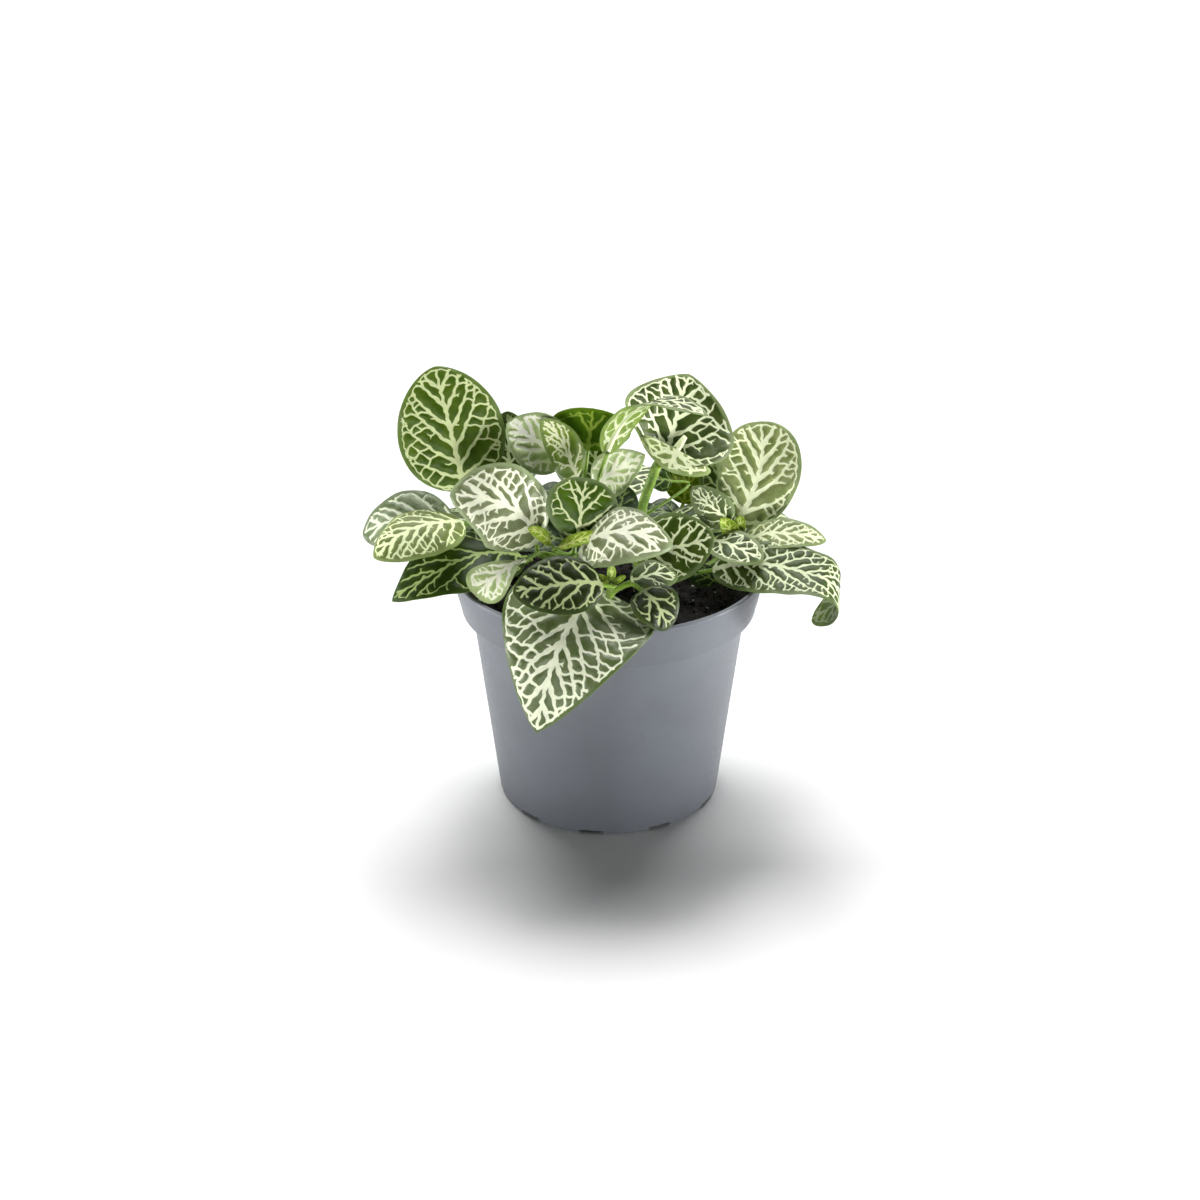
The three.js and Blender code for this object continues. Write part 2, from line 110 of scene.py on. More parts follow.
# Leaves and stems, in millimetres
BLADE_THICKNESS = 0.5
RIM_THICKNESS = 0.34
BLADE_SPACING = 0.4
BLADE_END_WIDTH = 0.3
PETIOLE_RADIUS = 0.8
BUD_PETIOLE_RADIUS = 0.5
PETIOLE_SIDES = 9
STEM_SIDES = 14
PETIOLE_RINGS = 17
RIDGE_RINGS = 6
PALE_RING = 11
MIDRIB_STEPS = 60
HOOK_SPEED = 1.6
LEAST_CURL = 0.1
EDGE_RIPPLE = 0.22
RIPPLE_TURN = 0.55
MARGIN_WAVES = 1.5
ROOT_DEPTH = 9
ROOT_TOP = 91
HAIR_LENGTH = 0.9
HAIR_HALF_WIDTH = 0.035
HAIRS_PER_STEM = 420
HAIRS_PER_STALK = 60
FIRST_SHOOT_SEED = 11

# Veins, in millimetres and degrees. A share has no unit.
VEIN_BORDER = 1.7
VEIN_STEP = 0.7
VEIN_REACH = 2.6
MIDRIB_PIECES = 27
MIDRIB_HALF = 1.05
MIDRIB_TAPER = 0.68
STALK_END_ANGLE = 74
STALK_END_SHARE = 0.3
SIDE_HALF = 0.5
CROSS_HALF = 0.29
FINE_HALF = 0.23
LONGEST_RUN = 90
LONGEST_TOOTH = 4.5
LONGEST_CROSS = 10
LONGEST_ARCH = 2.6
ARCH_SHARE = 0.7
MARGIN_SHARE = 0.75
MERGE_DISTANCE = 1.3
MEET_DISTANCE = 0.42
PROBE_STEP = 0.25
PROBES = 45
MARGIN_APPROACH = 12
TOOTH_LEAN = (48, 82)
WIDE_STRIP = 1.45
ANGLE_SPREAD = (0.92, 1.08)
PITCH_SPREAD = (0.85, 1.15)
SIDE_WANDER = 6
WANDER_TURN = 0.4
SIDE_THINNING = 0.008
MARGIN_THINNING = 0.55
THINNEST_SHARE = 0.4
OPEN_REACH = 2.5
LEAST_REACH = 0.7
OPEN_TOOTH_SHARE = 0.35
FORK_REACH = 1.6
FORK_SHARE = 0.6
FORK_LEAN = (35, 60)
THORN_SPACING = (2.5, 6.0)
THORN_REACH = (0.6, 1.3)

# The form of a leaf unless its row says otherwise
LEAF_FORM = dict(arch=0, bend=0, wave=0, twist=0, curl=(0, 0), base_curl=(0, 0), oval=(0.5, 0.62),
                 hook=(1, 0), stalk=PETIOLE_RADIUS, pale_from=PALE_RING)


def leaf(start, base, tip, face, width, look, **form):
    """One leaf: its stalk leaves the stem at start, its blade runs from base to tip, and its upper side
    faces an azimuth and elevation. The form gives the rise of its arch, its sideways bend, the waves of its
    margin, its twist, the curl of both halves, the roundness of both ends, the start and angle of its hook,
    and its stalk's radius and first pale ring."""
    return SimpleNamespace(start=start, base=base, tip=tip, face=face, width=width, look=look,
                           **{**LEAF_FORM, **form})


def bud(start, base, tip, face, width, look="young", **form):
    """A small leaf on a thin stalk."""
    return leaf(start, base, tip, face, width, look, stalk=BUD_PETIOLE_RADIUS, **form)


# Leafy stems, in millimetres and degrees
LEAFY_STEMS = {
    "shoot_front_left": dict(radius=1.7, path=[(-10, -20), (-11, -23, 99), (-13, -29, 112)], leaves=[
        leaf((-12, -27, 109), (-26, -31, 117), (-57, -35, 137.5), (-80, 55), 34, "white", arch=9, bend=2,
             curl=(-60, 10), oval=(0.45, 0.62), wave=0.6),
        leaf((-13, -29, 111), (-12, -28, 117), (-8, -20, 138), (-90, 15), 26, "dark", arch=2, curl=(10, 10),
             oval=(0.6, 0.5)),
        leaf((-13, -28, 110), (-11, -33, 114), (23, -42, 121), (-80, 62), 28, "white", arch=10,
             curl=(-20, -20)),
        leaf((-12, -26, 106), (-30, -38, 114), (-47.5, -52, 105.5), (-100, 55), 17, "silver", arch=3,
             curl=(10, 10), oval=(1.7, 0.45)),
        bud((-13, -29, 111), (-21, -33, 118), (-29, -36, 125), (-90, 60), 6, arch=1),
        bud((-13, -29, 111), (-18, -33, 116), (-2, -35, 122), (-90, 60), 6, arch=1, curl=(30, 30)),
    ]),
    "shoot_front": dict(radius=1.6, path=[(0, -36), (0, -39, 97), (1, -44, 106)], leaves=[
        leaf((1, -43, 104), (-2, -52, 110), (-34, -58, 110), (-88, 48), 23, "shaded", arch=4,
             curl=(-10, -10)),
        leaf((0, -38, 94), (-4, -38, 102), (-26, -74, 62), (-82, 42), 56, "glossy", arch=17, bend=4,
             curl=(28, -42), oval=(0.24, 0.8), wave=0.6),
        leaf((1, -43, 103), (12, -50, 107), (21, -58, 95), (-60, 60), 20, "shaded", arch=3,
             oval=(0.4, 0.62)),
        leaf((0, -40, 99), (8, -40, 106), (25, -36, 106), (-90, 70), 15, "mid", arch=2),
        bud((1, -43, 104), (0, -45, 108), (-4, -46, 111), (-90, 60), 3),
        bud((1, -43, 104), (2, -45, 108), (6, -47, 111), (-90, 60), 3),
        bud((1, -43, 104), (1, -44, 108), (1, -43, 114), (-90, 30), 3),
        bud((1, -43, 104), (1, -46, 107), (2, -51, 109), (-90, 80), 3),
    ]),
    "shoot_right": dict(radius=1.7, path=[(40, 6), (43, 4, 98), (46, 1, 108)], leaves=[
        leaf((46, 2, 105), (49, 8, 107), (58, 26, 142), (-80, 25), 32, "pale", arch=3, bend=3, curl=(5, 5),
             oval=(0.52, 0.42), wave=0.8),
        leaf((45, 1, 104), (50, -2, 104), (81.5, -8, 107.5), (-90, 65), 15, "pale", arch=5),
        leaf((46, 1, 106), (46, 0, 111), (31, -2, 126.5), (-110, 35), 13, "tip", arch=3),
        leaf((43, 3, 100), (38, -8, 107.5), (57, -20, 104.5), (-75, 65), 17, "net", arch=2),
        leaf((42, 4, 95), (39, -12, 97.5), (106, -34, 92.5), (-80, 72), 26, "mid", arch=8, twist=-55,
             hook=(0.56, 105), oval=(0.5, 0.62)),
        bud((41, 5, 92), (40, -12, 93), (30, -10, 96), (-90, 50), 10, "deep_painted_shade"),
        bud((46, 1, 105), (48, -3, 107), (42, -6, 116), (-90, 20), 7, curl=(50, 50)),
        bud((46, 1, 105), (48, -2, 107), (50, -2, 115), (-90, 20), 6, curl=(50, 50)),
        leaf((43, 4, 96), (50, 14, 100), (70, 28, 101), (-60, 75), 18, "mid", arch=4),
    ]),
    "shoot_middle_right": dict(radius=2, path=[(12, 9), (12.5, 9, 112), (18, 10, 130)], leaves=[
        leaf((17, 10, 127), (19, 12.5, 131), (30.5, 33, 158.5), (-72, 30), 50, "net", bend=1, curl=(10, 15),
             base_curl=(85, 80), oval=(0.34, 0.75), stalk=1.8),
        bud((13, 9, 110), (24, 20, 120), (15, 18, 122), (-90, 50), 10, "deep_painted_shade"),
        leaf((12.5, 9, 100), (22, 14, 104), (45, 14, 103), (-90, 75), 18, "mid", arch=4),
        leaf((13, 9, 97), (9, 4, 101), (-2, -12, 102), (-90, 78), 16, "deep_painted_shade", arch=3),
        leaf((17, 10, 127), (26, 7, 138), (22, 4, 131), (-95, 20), 30, "lobe", curl=(-25, -25),
             oval=(0.15, 0.6), pale_from=2),
    ]),
    "shoot_middle_left": dict(radius=1.8, path=[(-8, 14), (-9, 15, 104), (-10, 16, 120)], leaves=[
        leaf((-10, 16, 118), (-8, 24, 131), (-6, 32, 145), (-90, 10), 31, "backlit", oval=(0.6, 0.5)),
        leaf((-10, 16, 115), (-18, 18, 127), (-38.5, 24, 142.5), (-105, 52), 23, "grey", arch=5,
             curl=(0, 30), oval=(0.55, 0.75)),
        leaf((-10, 16, 119), (-12, 14, 124), (-25, 18, 146), (-60, 40), 16, "fine", arch=3),
        leaf((-9, 15, 112), (-5, 2, 124), (13.5, 5, 137), (-110, 50), 19, "silver", arch=3,
             oval=(0.45, 0.8)),
        leaf((-9, 15, 108), (-1, -2, 139.9), (36, -12, 159.2), (90, 72), 19, "net", arch=12, twist=65,
             oval=(0.55, 0.8)),
        leaf((-8, 14, 98), (3, 6, 112), (7, 9, 122.5), (-90, 20), 13, "deep_painted_shade"),
        leaf((-8, 14, 95), (-17, 13, 98), (-42, 8, 98), (-90, 75), 20, "deep_painted_shade", arch=4),
    ]),
    "shoot_left": dict(radius=1.8, path=[(-36, 0), (-43, -1, 100), (-53, -3, 114)], leaves=[
        leaf((-52, -3, 113), (-54, 2, 124), (-65, 18, 167), (-86, 25), 40, "bright", arch=2, wave=0.8),
        leaf((-52, -3, 112), (-58, -2, 112), (-93, 0, 107), (-90, 55), 26, "stripes", arch=6),
        leaf((-51, -3, 111), (-54, -14, 118), (-85.5, -34, 112.5), (-100, 68), 27, "light", arch=6,
             curl=(-30, -30)),
        leaf((-38, -1, 92), (-33, -10, 102), (-80, -30, 93), (-95, 62), 30, "arcs", arch=10,
             oval=(0.5, 0.8), wave=0.8),
        leaf((-43, -1, 99), (-46, 10, 102), (-62, 29, 104), (120, 72), 20, "mid", arch=4),
    ]),
    "shoot_middle": dict(radius=1.5, path=[(14, -14), (12, -13, 95), (10, -12, 102)], leaves=[
        leaf((10, -12, 100), (12, -12, 103), (39, -17, 113), (-80, 42), 27, "bold", oval=(0.42, 0.62)),
    ]),
    "shoot_back_left": dict(radius=1.7, path=[(-28, 28), (-31, 32, 99), (-34, 36, 110)], leaves=[
        leaf((-34, 35, 108), (-38, 28, 120), (-39, 34, 143), (-90, 20), 18, "mid"),
        leaf((-34, 35, 107), (-42, 36, 110), (-72, 56, 116), (110, 60), 30, "net", arch=8, wave=0.8),
        leaf((-34, 36, 108), (-36, 42, 108), (-50, 76, 102), (110, 60), 28, "mid", arch=8),
    ]),
    "shoot_back": dict(radius=1.7, path=[(0, 34), (-2, 37, 98), (-4, 40, 106)], leaves=[
        leaf((-4, 40, 104), (-9, 44, 104), (-14, 82, 98), (90, 60), 24, "mid", arch=8),
        leaf((-3, 39, 103), (3, 43, 103), (22, 80, 96), (60, 60), 26, "net", arch=8),
        leaf((-4, 40, 105), (-4, 36, 110), (-6, 44, 128), (-90, 20), 18, "dark"),
        leaf((-3, 39, 100), (-10, 33, 106), (-30, 24, 108), (-90, 72), 19, "deep_painted_shade", arch=3),
    ]),
    "shoot_back_right": dict(radius=1.7, path=[(34, 28), (36, 29, 97), (38, 30, 106)], leaves=[
        leaf((36, 29, 101), (29, 26, 108), (33, 30, 126), (-90, 10), 18, "olive"),
        leaf((38, 30, 104), (43, 24, 110), (41, 30, 127), (-90, 20), 14, "mid"),
        leaf((38, 30, 104), (44, 34, 106), (72, 56, 104), (60, 60), 28, "net", arch=8, wave=0.8),
        leaf((38, 30, 103), (38, 38, 104), (46, 74, 98), (80, 60), 26, "mid", arch=7),
        leaf((36, 29, 98), (29, 24, 102), (13, 25, 103), (-90, 72), 16, "deep_painted_shade", arch=3),
    ]),
}


# Vector helpers on arrays of row vectors

def unit(vectors):
    return vectors / np.linalg.norm(vectors, axis=-1, keepdims=True)


def dot(first, second):
    return np.sum(first * second, axis=-1, keepdims=True)


def turned(vectors, axis, angle):
    """vectors turned about unit axes by angles in radians, one angle a row."""
    cosine = np.cos(angle)[:, None]
    sine = np.sin(angle)[:, None]
    return vectors * cosine + np.cross(axis, vectors) * sine + axis * dot(axis, vectors) * (1 - cosine)


def smooth(value):
    value = np.clip(value, 0, 1)
    return value * value * (3 - 2 * value)


def direction(azimuth, elevation):
    azimuth, elevation = math.radians(azimuth), math.radians(elevation)
    return np.array([math.cos(elevation) * math.cos(azimuth),
                     math.cos(elevation) * math.sin(azimuth), math.sin(elevation)])


def swung(way, turn):
    """A flat vector turned counter-clockwise by an angle in radians."""
    return np.array([way[0] * math.cos(turn) - way[1] * math.sin(turn),
                     way[0] * math.sin(turn) + way[1] * math.cos(turn)])


def curve_points(points, count):
    """count points along a smooth curve through the points given."""
    points = [np.array(place, float) for place in points]
    points = [2 * points[0] - points[1]] + points + [2 * points[-1] - points[-2]]
    spans = len(points) - 3
    result = []
    for place in np.linspace(0, spans, count):
        span = min(int(place), spans - 1)
        t = place - span
        before, start, end, after = points[span:span + 4]
        gaps = [max(np.linalg.norm(b - a), 1e-6) ** 0.5
                for a, b in ((before, start), (start, end), (end, after))]
        leave = ((start - before) / gaps[0] - (end - before) / (gaps[0] + gaps[1])
                 + (end - start) / gaps[1]) * gaps[1]
        arrive = ((end - start) / gaps[1] - (after - start) / (gaps[1] + gaps[2])
                  + (after - end) / gaps[2]) * gaps[1]
        result.append(start + leave * t + (3 * (end - start) - 2 * leave - arrive) * t ** 2
                      + (2 * (start - end) + leave + arrive) * t ** 3)
    return np.array(result)


# Pieces of mesh: points in millimetres, triangles, a material number or one for each triangle, and values
# at the points. A leaf's points hold how far inside a vein they lie, how far from the edge, and 1 for below.
ATTRIBUTES = ("vein", "rim", "under")


def link_object(name, data):
    made = bpy.data.objects.new(name, data)
    bpy.context.scene.collection.objects.link(made)
    return made


class Patch:
    def __init__(self, points, faces, material=0, **values):
        self.points = points
        self.faces = faces
        self.material = material
        self.values = values


def mesh_object(name, patches, materials, attributes=()):
    """One object in metres from several patches, with the patches' values at its points."""
    points = np.concatenate([patch.points for patch in patches]) * MM
    offsets = np.cumsum([0] + [len(patch.points) for patch in patches])
    faces = np.concatenate([patch.faces + offset for patch, offset in zip(patches, offsets)])
    numbers = np.concatenate([np.broadcast_to(patch.material, len(patch.faces)) for patch in patches])
    mesh = bpy.data.meshes.new(name)
    mesh.from_pydata(points.tolist(), [], faces.tolist())
    mesh.polygons.foreach_set("material_index", numbers.astype(np.int32))
    mesh.validate()
    mesh.polygons.foreach_set("use_smooth", np.ones(len(mesh.polygons), bool))
    for material in materials:
        mesh.materials.append(material)
    for attribute in attributes:
        layer = mesh.attributes.new(attribute, "FLOAT", "POINT")
        parts = [np.broadcast_to(patch.values.get(attribute, 0.0), len(patch.points)) for patch in patches]
        layer.data.foreach_set("value", np.concatenate(parts).astype(np.float32))
    return link_object(name, mesh)


def grid_faces(rows, columns):
    """Triangles over a lattice of rows + 1 by columns + 1 points, counter-clockwise from above."""
    row, column = np.meshgrid(np.arange(rows), np.arange(columns), indexing="ij")
    here = (row * (columns + 1) + column).ravel()
    beyond = here + columns + 1
    return np.concatenate([np.stack([here, here + 1, beyond], 1),
                           np.stack([here + 1, beyond + 1, beyond], 1)])


def grid_rim(rows, columns):
    """The numbers of the points round the lattice, counter-clockwise."""
    width = columns + 1
    return np.concatenate([np.arange(columns), np.arange(rows) * width + columns,
                           rows * width + np.arange(columns, 0, -1), np.arange(rows, 0, -1) * width])


def ring_body(rings, start, end):
    """A closed body through rings of points, with a fan of triangles at both ends."""
    count, sides = len(rings), len(rings[0])
    ring, side = np.meshgrid(np.arange(count - 1), np.arange(sides), indexing="ij")
    here = (ring * sides + side).ravel()
    beside = (ring * sides + (side + 1) % sides).ravel()
    first = np.arange(sides)
    following = (first + 1) % sides
    last = (count - 1) * sides
    faces = [np.stack([here, beside, beside + sides], 1), np.stack([here, beside + sides, here + sides], 1),
             np.stack([np.full(sides, count * sides), following, first], 1),
             np.stack([np.full(sides, count * sides + 1), first + last, following + last], 1)]
    return np.concatenate(rings + [np.array([start, end], float)]), np.concatenate(faces)


def tube(points, radii, sides, lumps=0.0, rng=None):
    """A closed round tube along points in millimetres."""
    points = np.array(points)
    tangents = unit(np.gradient(points, axis=0))
    guide = np.array([0.0, 0.0, 1.0]) if abs(tangents[0][2]) < 0.9 else np.array([1.0, 0.0, 0.0])
    angles = (np.arange(sides) * 2 * math.pi / sides)[:, None]
    rings = []
    for centre, tangent, radius in zip(points, tangents, radii):
        guide = guide - tangent * np.dot(guide, tangent)
        guide = guide / np.linalg.norm(guide)
        other = np.cross(tangent, guide)
        swell = 1 + (lumps * rng.standard_normal(sides) if lumps else np.zeros(sides))
        rings.append(centre + radius * swell[:, None] * (np.cos(angles) * guide + np.sin(angles) * other))
    return ring_body(rings, points[0], points[-1])


# Leaf blades: u runs from the stalk at 0 to the tip at 1, and v from the left edge at -1 to the right at 1

class Blade:
    def __init__(self, leaf):
        self.leaf = leaf
        base = np.array(leaf.base, float)
        self.chord = np.array(leaf.tip, float) - base
        self.length = np.linalg.norm(self.chord)
        along = self.chord / self.length
        face = direction(*leaf.face)
        self.upper = unit(face - along * np.dot(face, along))
        self.right = np.cross(along, self.upper)
        steps = (np.arange(MIDRIB_STEPS) + 0.5) / MIDRIB_STEPS
        speed = np.linalg.norm(self.velocity(steps), axis=1, keepdims=True) / MIDRIB_STEPS
        self.line = np.concatenate([[base], base + np.cumsum(self.frame(steps)[0] * speed, 0)])

    def velocity(self, u):
        swing = (4 * (1 - 2 * u))[:, None]
        return self.chord + swing * (self.leaf.arch * self.upper + self.leaf.bend * self.right)

    def frame(self, u):
        """The way of the middle line, the upper side and the right side at each u."""
        tangent = unit(self.velocity(u))
        normal = unit(self.upper - tangent * dot(self.upper, tangent))
        start, angle = self.leaf.hook
        if angle:
            side = np.cross(tangent, normal)
            turn = -math.radians(angle) * smooth((u - start) / (1 - start) * HOOK_SPEED)
            tangent = turned(tangent, side, turn)
            normal = turned(normal, side, turn)
        normal = turned(normal, tangent, math.radians(self.leaf.twist) * (u - 0.5))
        return tangent, normal, np.cross(tangent, normal)

    def centre(self, u):
        place = u * MIDRIB_STEPS
        steps = np.arange(MIDRIB_STEPS + 1)
        return np.stack([np.interp(place, steps, self.line[:, axis]) for axis in range(3)], 1)

    def half_width(self, u):
        """An oval outline whose two exponents set how pointed the stalk end and the tip are."""
        stalk_end, tip_end = self.leaf.oval
        widest = stalk_end / (stalk_end + tip_end)
        greatest = widest ** stalk_end * (1 - widest) ** tip_end
        u = np.clip(u, 0, 1)
        oval = self.leaf.width / 2 * u ** stalk_end * (1 - u) ** tip_end / greatest
        return np.maximum(oval, BLADE_END_WIDTH / 2)

    def surface(self, u, v, height, phase):
        """Points over the lattice of u and v, height above the blade's middle."""
        leaf = self.leaf
        centre = self.centre(u)[:, None, :]
        _, normal, side = self.frame(u)
        half = self.half_width(u)[:, None]
        u, v = u[:, None], v[None, :]
        reach, hand = np.abs(v), np.sign(v)
        curl = np.where(v > 0, leaf.curl[1], leaf.curl[0])
        curl = curl + np.where(v > 0, leaf.base_curl[1], leaf.base_curl[0]) * (1 - u) ** 2
        curl = np.radians(np.where(np.abs(curl) < LEAST_CURL, LEAST_CURL, curl))
        lean = curl * reach
        out = half * np.sin(lean) / curl
        swing = np.sin(2 * math.pi * MARGIN_WAVES * u + np.where(v > 0, 1.3, 0))
        ripple = np.sin(u * self.length * RIPPLE_TURN + phase + hand)
        rise = half * (1 - np.cos(lean)) / curl
        rise = rise + leaf.wave * swing * reach ** 2 * half / leaf.width * 2
        rise = rise + EDGE_RIPPLE * ripple * reach ** 4 * np.minimum(1, half / 6)
        across = hand * (out - height * np.sin(lean))
        above = rise + height * np.cos(lean)
        return centre + across[:, :, None] * side[:, None, :] + above[:, :, None] * normal[:, None, :]


class Veins:
    """The net of veins of one blade: straight pieces in millimetres over the flattened blade,
    where s runs along the midrib and t square to it."""

    def __init__(self, blade, look, rng):
        self.blade = blade
        self.rng = rng
        self.look = look
        self.length = blade.length
        table = np.linspace(0, 1, 200)
        self.half_table = (table * self.length, blade.half_width(table))
        self.starts, self.ends, self.radii = [], [], []
        size = min(1.25, max(0.4, blade.leaf.width / 28)) ** 0.5
        self.width = look.veins * size
        self.gap = look.gap * size
        self.border = min(VEIN_BORDER, blade.leaf.width * 0.09) * look.border
        midrib = self.grow_midrib()
        for side in (-1, 1):
            lines = self.grow_side_veins(side)
            for line, outer in zip(lines, [None] + lines):
                self.grow_teeth(line, outer, side)
                self.grow_thorns(line)
            if lines:
                beyond = midrib[midrib[:, 0] > lines[-1][0][0] + 1.5]
                self.grow_teeth(beyond, lines[-1], side)
        self.grow_thorns(midrib)
        self.starts, self.ends = np.array(self.starts, np.float32), np.array(self.ends, np.float32)

    def half(self, s):
        return float(np.interp(s, *self.half_table))

    def share(self, place):
        """How far out a place is between the midrib at 0 and the margin at 1."""
        return abs(place[1]) / max(self.half(place[0]), 0.5)

    def room(self, place):
        """How far a place is from the blade's edge, less than 0 outside."""
        across = self.half(place[0]) - abs(place[1])
        return min(across, (self.length - place[0]) * 0.8, place[0] + self.half(0.03 * self.length))

    def lay(self, points, first, last, root=1.0, end=1.0):
        """A vein along points whose half width goes evenly from first to last, with its ends widened."""
        share = np.linspace(0, 1, len(points))
        swell = np.interp(share, (0, 0.2, 0.8, 1), (root, 1, 1, end))
        radii = (first + (last - first) * share) * swell * self.width
        for step in range(len(points) - 1):
            self.starts.append(points[step])
            self.ends.append(points[step + 1])
            self.radii.append((radii[step], radii[step + 1]))

    def bow(self, start, through, end):
        """Points of a smooth curve from start to end that leans towards a third point."""
        count = max(4, int(np.linalg.norm(end - start) / VEIN_STEP) + 2)
        t = np.linspace(0, 1, count)[:, None]
        return start * (1 - t) ** 2 + through * 2 * t * (1 - t) + end * t ** 2

    def grow_midrib(self):
        places = np.linspace(0, self.length - self.border * 0.7, MIDRIB_PIECES + 1)
        sway = self.rng.uniform(-0.02, 0.02) * self.length * np.sin(places / self.length * 7)
        line = np.stack([places, sway], 1)
        narrow = MIDRIB_HALF * (1 - MIDRIB_TAPER * (places / self.length) ** 0.7)
        for step in range(MIDRIB_PIECES):
            self.lay(line[step:step + 2], narrow[step], narrow[step + 1])
        return line

    def grow_side_veins(self, side):
        """Side veins that leave the midrib at an angle, wider near the stalk, and arch forward."""
        rng, normal_angle = self.rng, self.look.angle
        pitch = self.gap / math.sin(math.radians(normal_angle))
        s = pitch * rng.uniform(0.02, 0.2)
        lines = []
        while s < self.length - 2.0 * self.border:
            near_stalk = max(0.0, 1 - s / (STALK_END_SHARE * self.length))
            angle = normal_angle * rng.uniform(*ANGLE_SPREAD)
            angle += (STALK_END_ANGLE - angle) * near_stalk ** 1.3
            line = self.run(np.array([s, 0.0]), angle, side, lines[-1] if lines else None)
            if len(line) > 3:
                lines.append(line)
            pitch_here = pitch * rng.uniform(*PITCH_SPREAD)
            s += pitch_here * (1 - 0.15 * s / self.length) * (1 - 0.45 * near_stalk)
        return lines

    def run(self, start, angle, side, outer):
        """A side vein, step by step, which turns along the margin and ends there or at its neighbour."""
        place = start
        line = [start]
        sway = self.rng.uniform(0, 6)
        for step in range(LONGEST_RUN):
            share = self.share(place)
            margin_angle = math.degrees(math.atan(self.half(place[0] + 0.5) - self.half(place[0] - 0.5)))
            turn = self.look.arching * min(1, share) ** 1.6
            heading = math.radians(angle + (margin_angle + MARGIN_APPROACH - angle) * turn
                                   + SIDE_WANDER * math.sin(sway + step * WANDER_TURN))
            end = place + VEIN_STEP * np.array([math.cos(heading), side * math.sin(heading)])
            if self.room(end) < self.border:
                break
            flare = self.look.flare * max(0, 1 - share) ** 2
            narrow = max(THINNEST_SHARE, 1 - SIDE_THINNING * step - MARGIN_THINNING * share ** 2)
            half = SIDE_HALF * (narrow + flare)
            self.lay(np.array([place, end]), half, half)
            place = end
            line.append(place)
            if outer is not None and step > 4:
                distance = np.linalg.norm(outer - place, axis=1)
                if distance.min() < MERGE_DISTANCE:
                    meet = outer[min(len(outer) - 1, int(distance.argmin()) + 1)]
                    self.lay(self.bow(place, (place + meet) / 2, meet), half, SIDE_HALF * 0.6)
                    break
        return np.array(line)

    def grow_teeth(self, line, outer, side):
        """Short veins from the outer side of a side vein, to its neighbour or towards the margin."""
        if len(line) < 3:
            return
        rng = self.rng
        mesh = self.gap * self.look.mesh
        place = mesh / VEIN_STEP * rng.uniform(0.4, 0.9)
        knot = None
        rim = None if outer is None else outer[-1]
        while place < len(line) - 1:
            start = line[int(place)]
            way = unit(line[min(len(line) - 1, int(place) + 1)] - line[max(0, int(place) - 1)])
            out = swung(way, math.radians(rng.uniform(*TOOTH_LEAN)) * side)
            reach, joined = self.free_way(start, out, outer)
            open_middle = self.share(start) < self.look.open and reach > OPEN_REACH
            if open_middle or reach < LEAST_REACH:
                knot = None
                if open_middle and rng.random() < OPEN_TOOTH_SHARE:
                    self.grow_free_tooth(start, out, min(reach * 0.5, LONGEST_TOOTH))
            elif rng.random() < self.look.closed and reach < LONGEST_CROSS:
                end = start + out * reach
                bulge = np.array([0.12, 0]) * reach + rng.uniform(-0.08, 0.08, 2) * reach
                tooth = self.bow(start, (start + end) / 2 + bulge, end)
                self.lay(tooth, CROSS_HALF, CROSS_HALF * 0.95, 1.5, 1.5)
                middle = tooth[len(tooth) // 2]
                if knot is not None and reach > WIDE_STRIP * mesh and np.linalg.norm(middle - knot) > 1:
                    self.lay(self.bow(knot, (knot + middle) / 2 + rng.uniform(-0.3, 0.3, 2), middle),
                             CROSS_HALF * 0.8, CROSS_HALF * 0.8, 1.3, 1.3)
                knot = middle
                if not joined:
                    self.grow_arch(rim, end, out, mesh)
                    rim = end
            else:
                reach = reach * rng.uniform(0.4, 0.75) if joined else reach + 0.5 * self.border
                self.grow_free_tooth(start, out, min(reach, LONGEST_TOOTH))
                knot = None
            place += mesh / VEIN_STEP * rng.uniform(0.7, 1.15) * min(1, max(0.6, reach / mesh))
        way = unit(line[-1] - line[-2])
        if rim is not None and rng.random() < self.look.closed:
            self.grow_arch(rim, line[-1], np.array([-way[1], way[0]]) * side, mesh)
        self.grow_free_tooth(line[-1], way, 0.9)

    def grow_arch(self, start, end, out, mesh):
        """A vein along the margin between the ends of two teeth, with a short free tooth of its own."""
        if start is None:
            return
        distance = np.linalg.norm(end - start)
        if 0.8 < distance < LONGEST_ARCH * mesh:
            arch = self.bow(start, (start + end) / 2 + out * distance * 0.2, end)
            if self.rng.random() < ARCH_SHARE:
                self.lay(arch, CROSS_HALF * 0.7, CROSS_HALF * 0.7, 1.3, 1.3)
            self.grow_free_tooth(end, out, self.rng.uniform(0.7, 1.4))

    def free_way(self, start, out, outer):
        """How far a tooth can go before the margin or the neighbour, and whether it meets the neighbour."""
        steps = np.arange(2, PROBES) * PROBE_STEP
        path = start + out * steps[:, None]
        limit = next((number for number, point in enumerate(path) if self.room(point) < self.border * 1.2),
                     len(path))
        joined = False
        if outer is not None and limit:
            gaps = np.linalg.norm(path[:limit, None] - outer[None], axis=2).min(1)
            meets = (gaps < MEET_DISTANCE).nonzero()[0]
            if len(meets):
                limit, joined = int(meets[0]), True
        return (float(steps[limit - 1]) if limit else 0.0) + (PROBE_STEP if joined else 0), joined

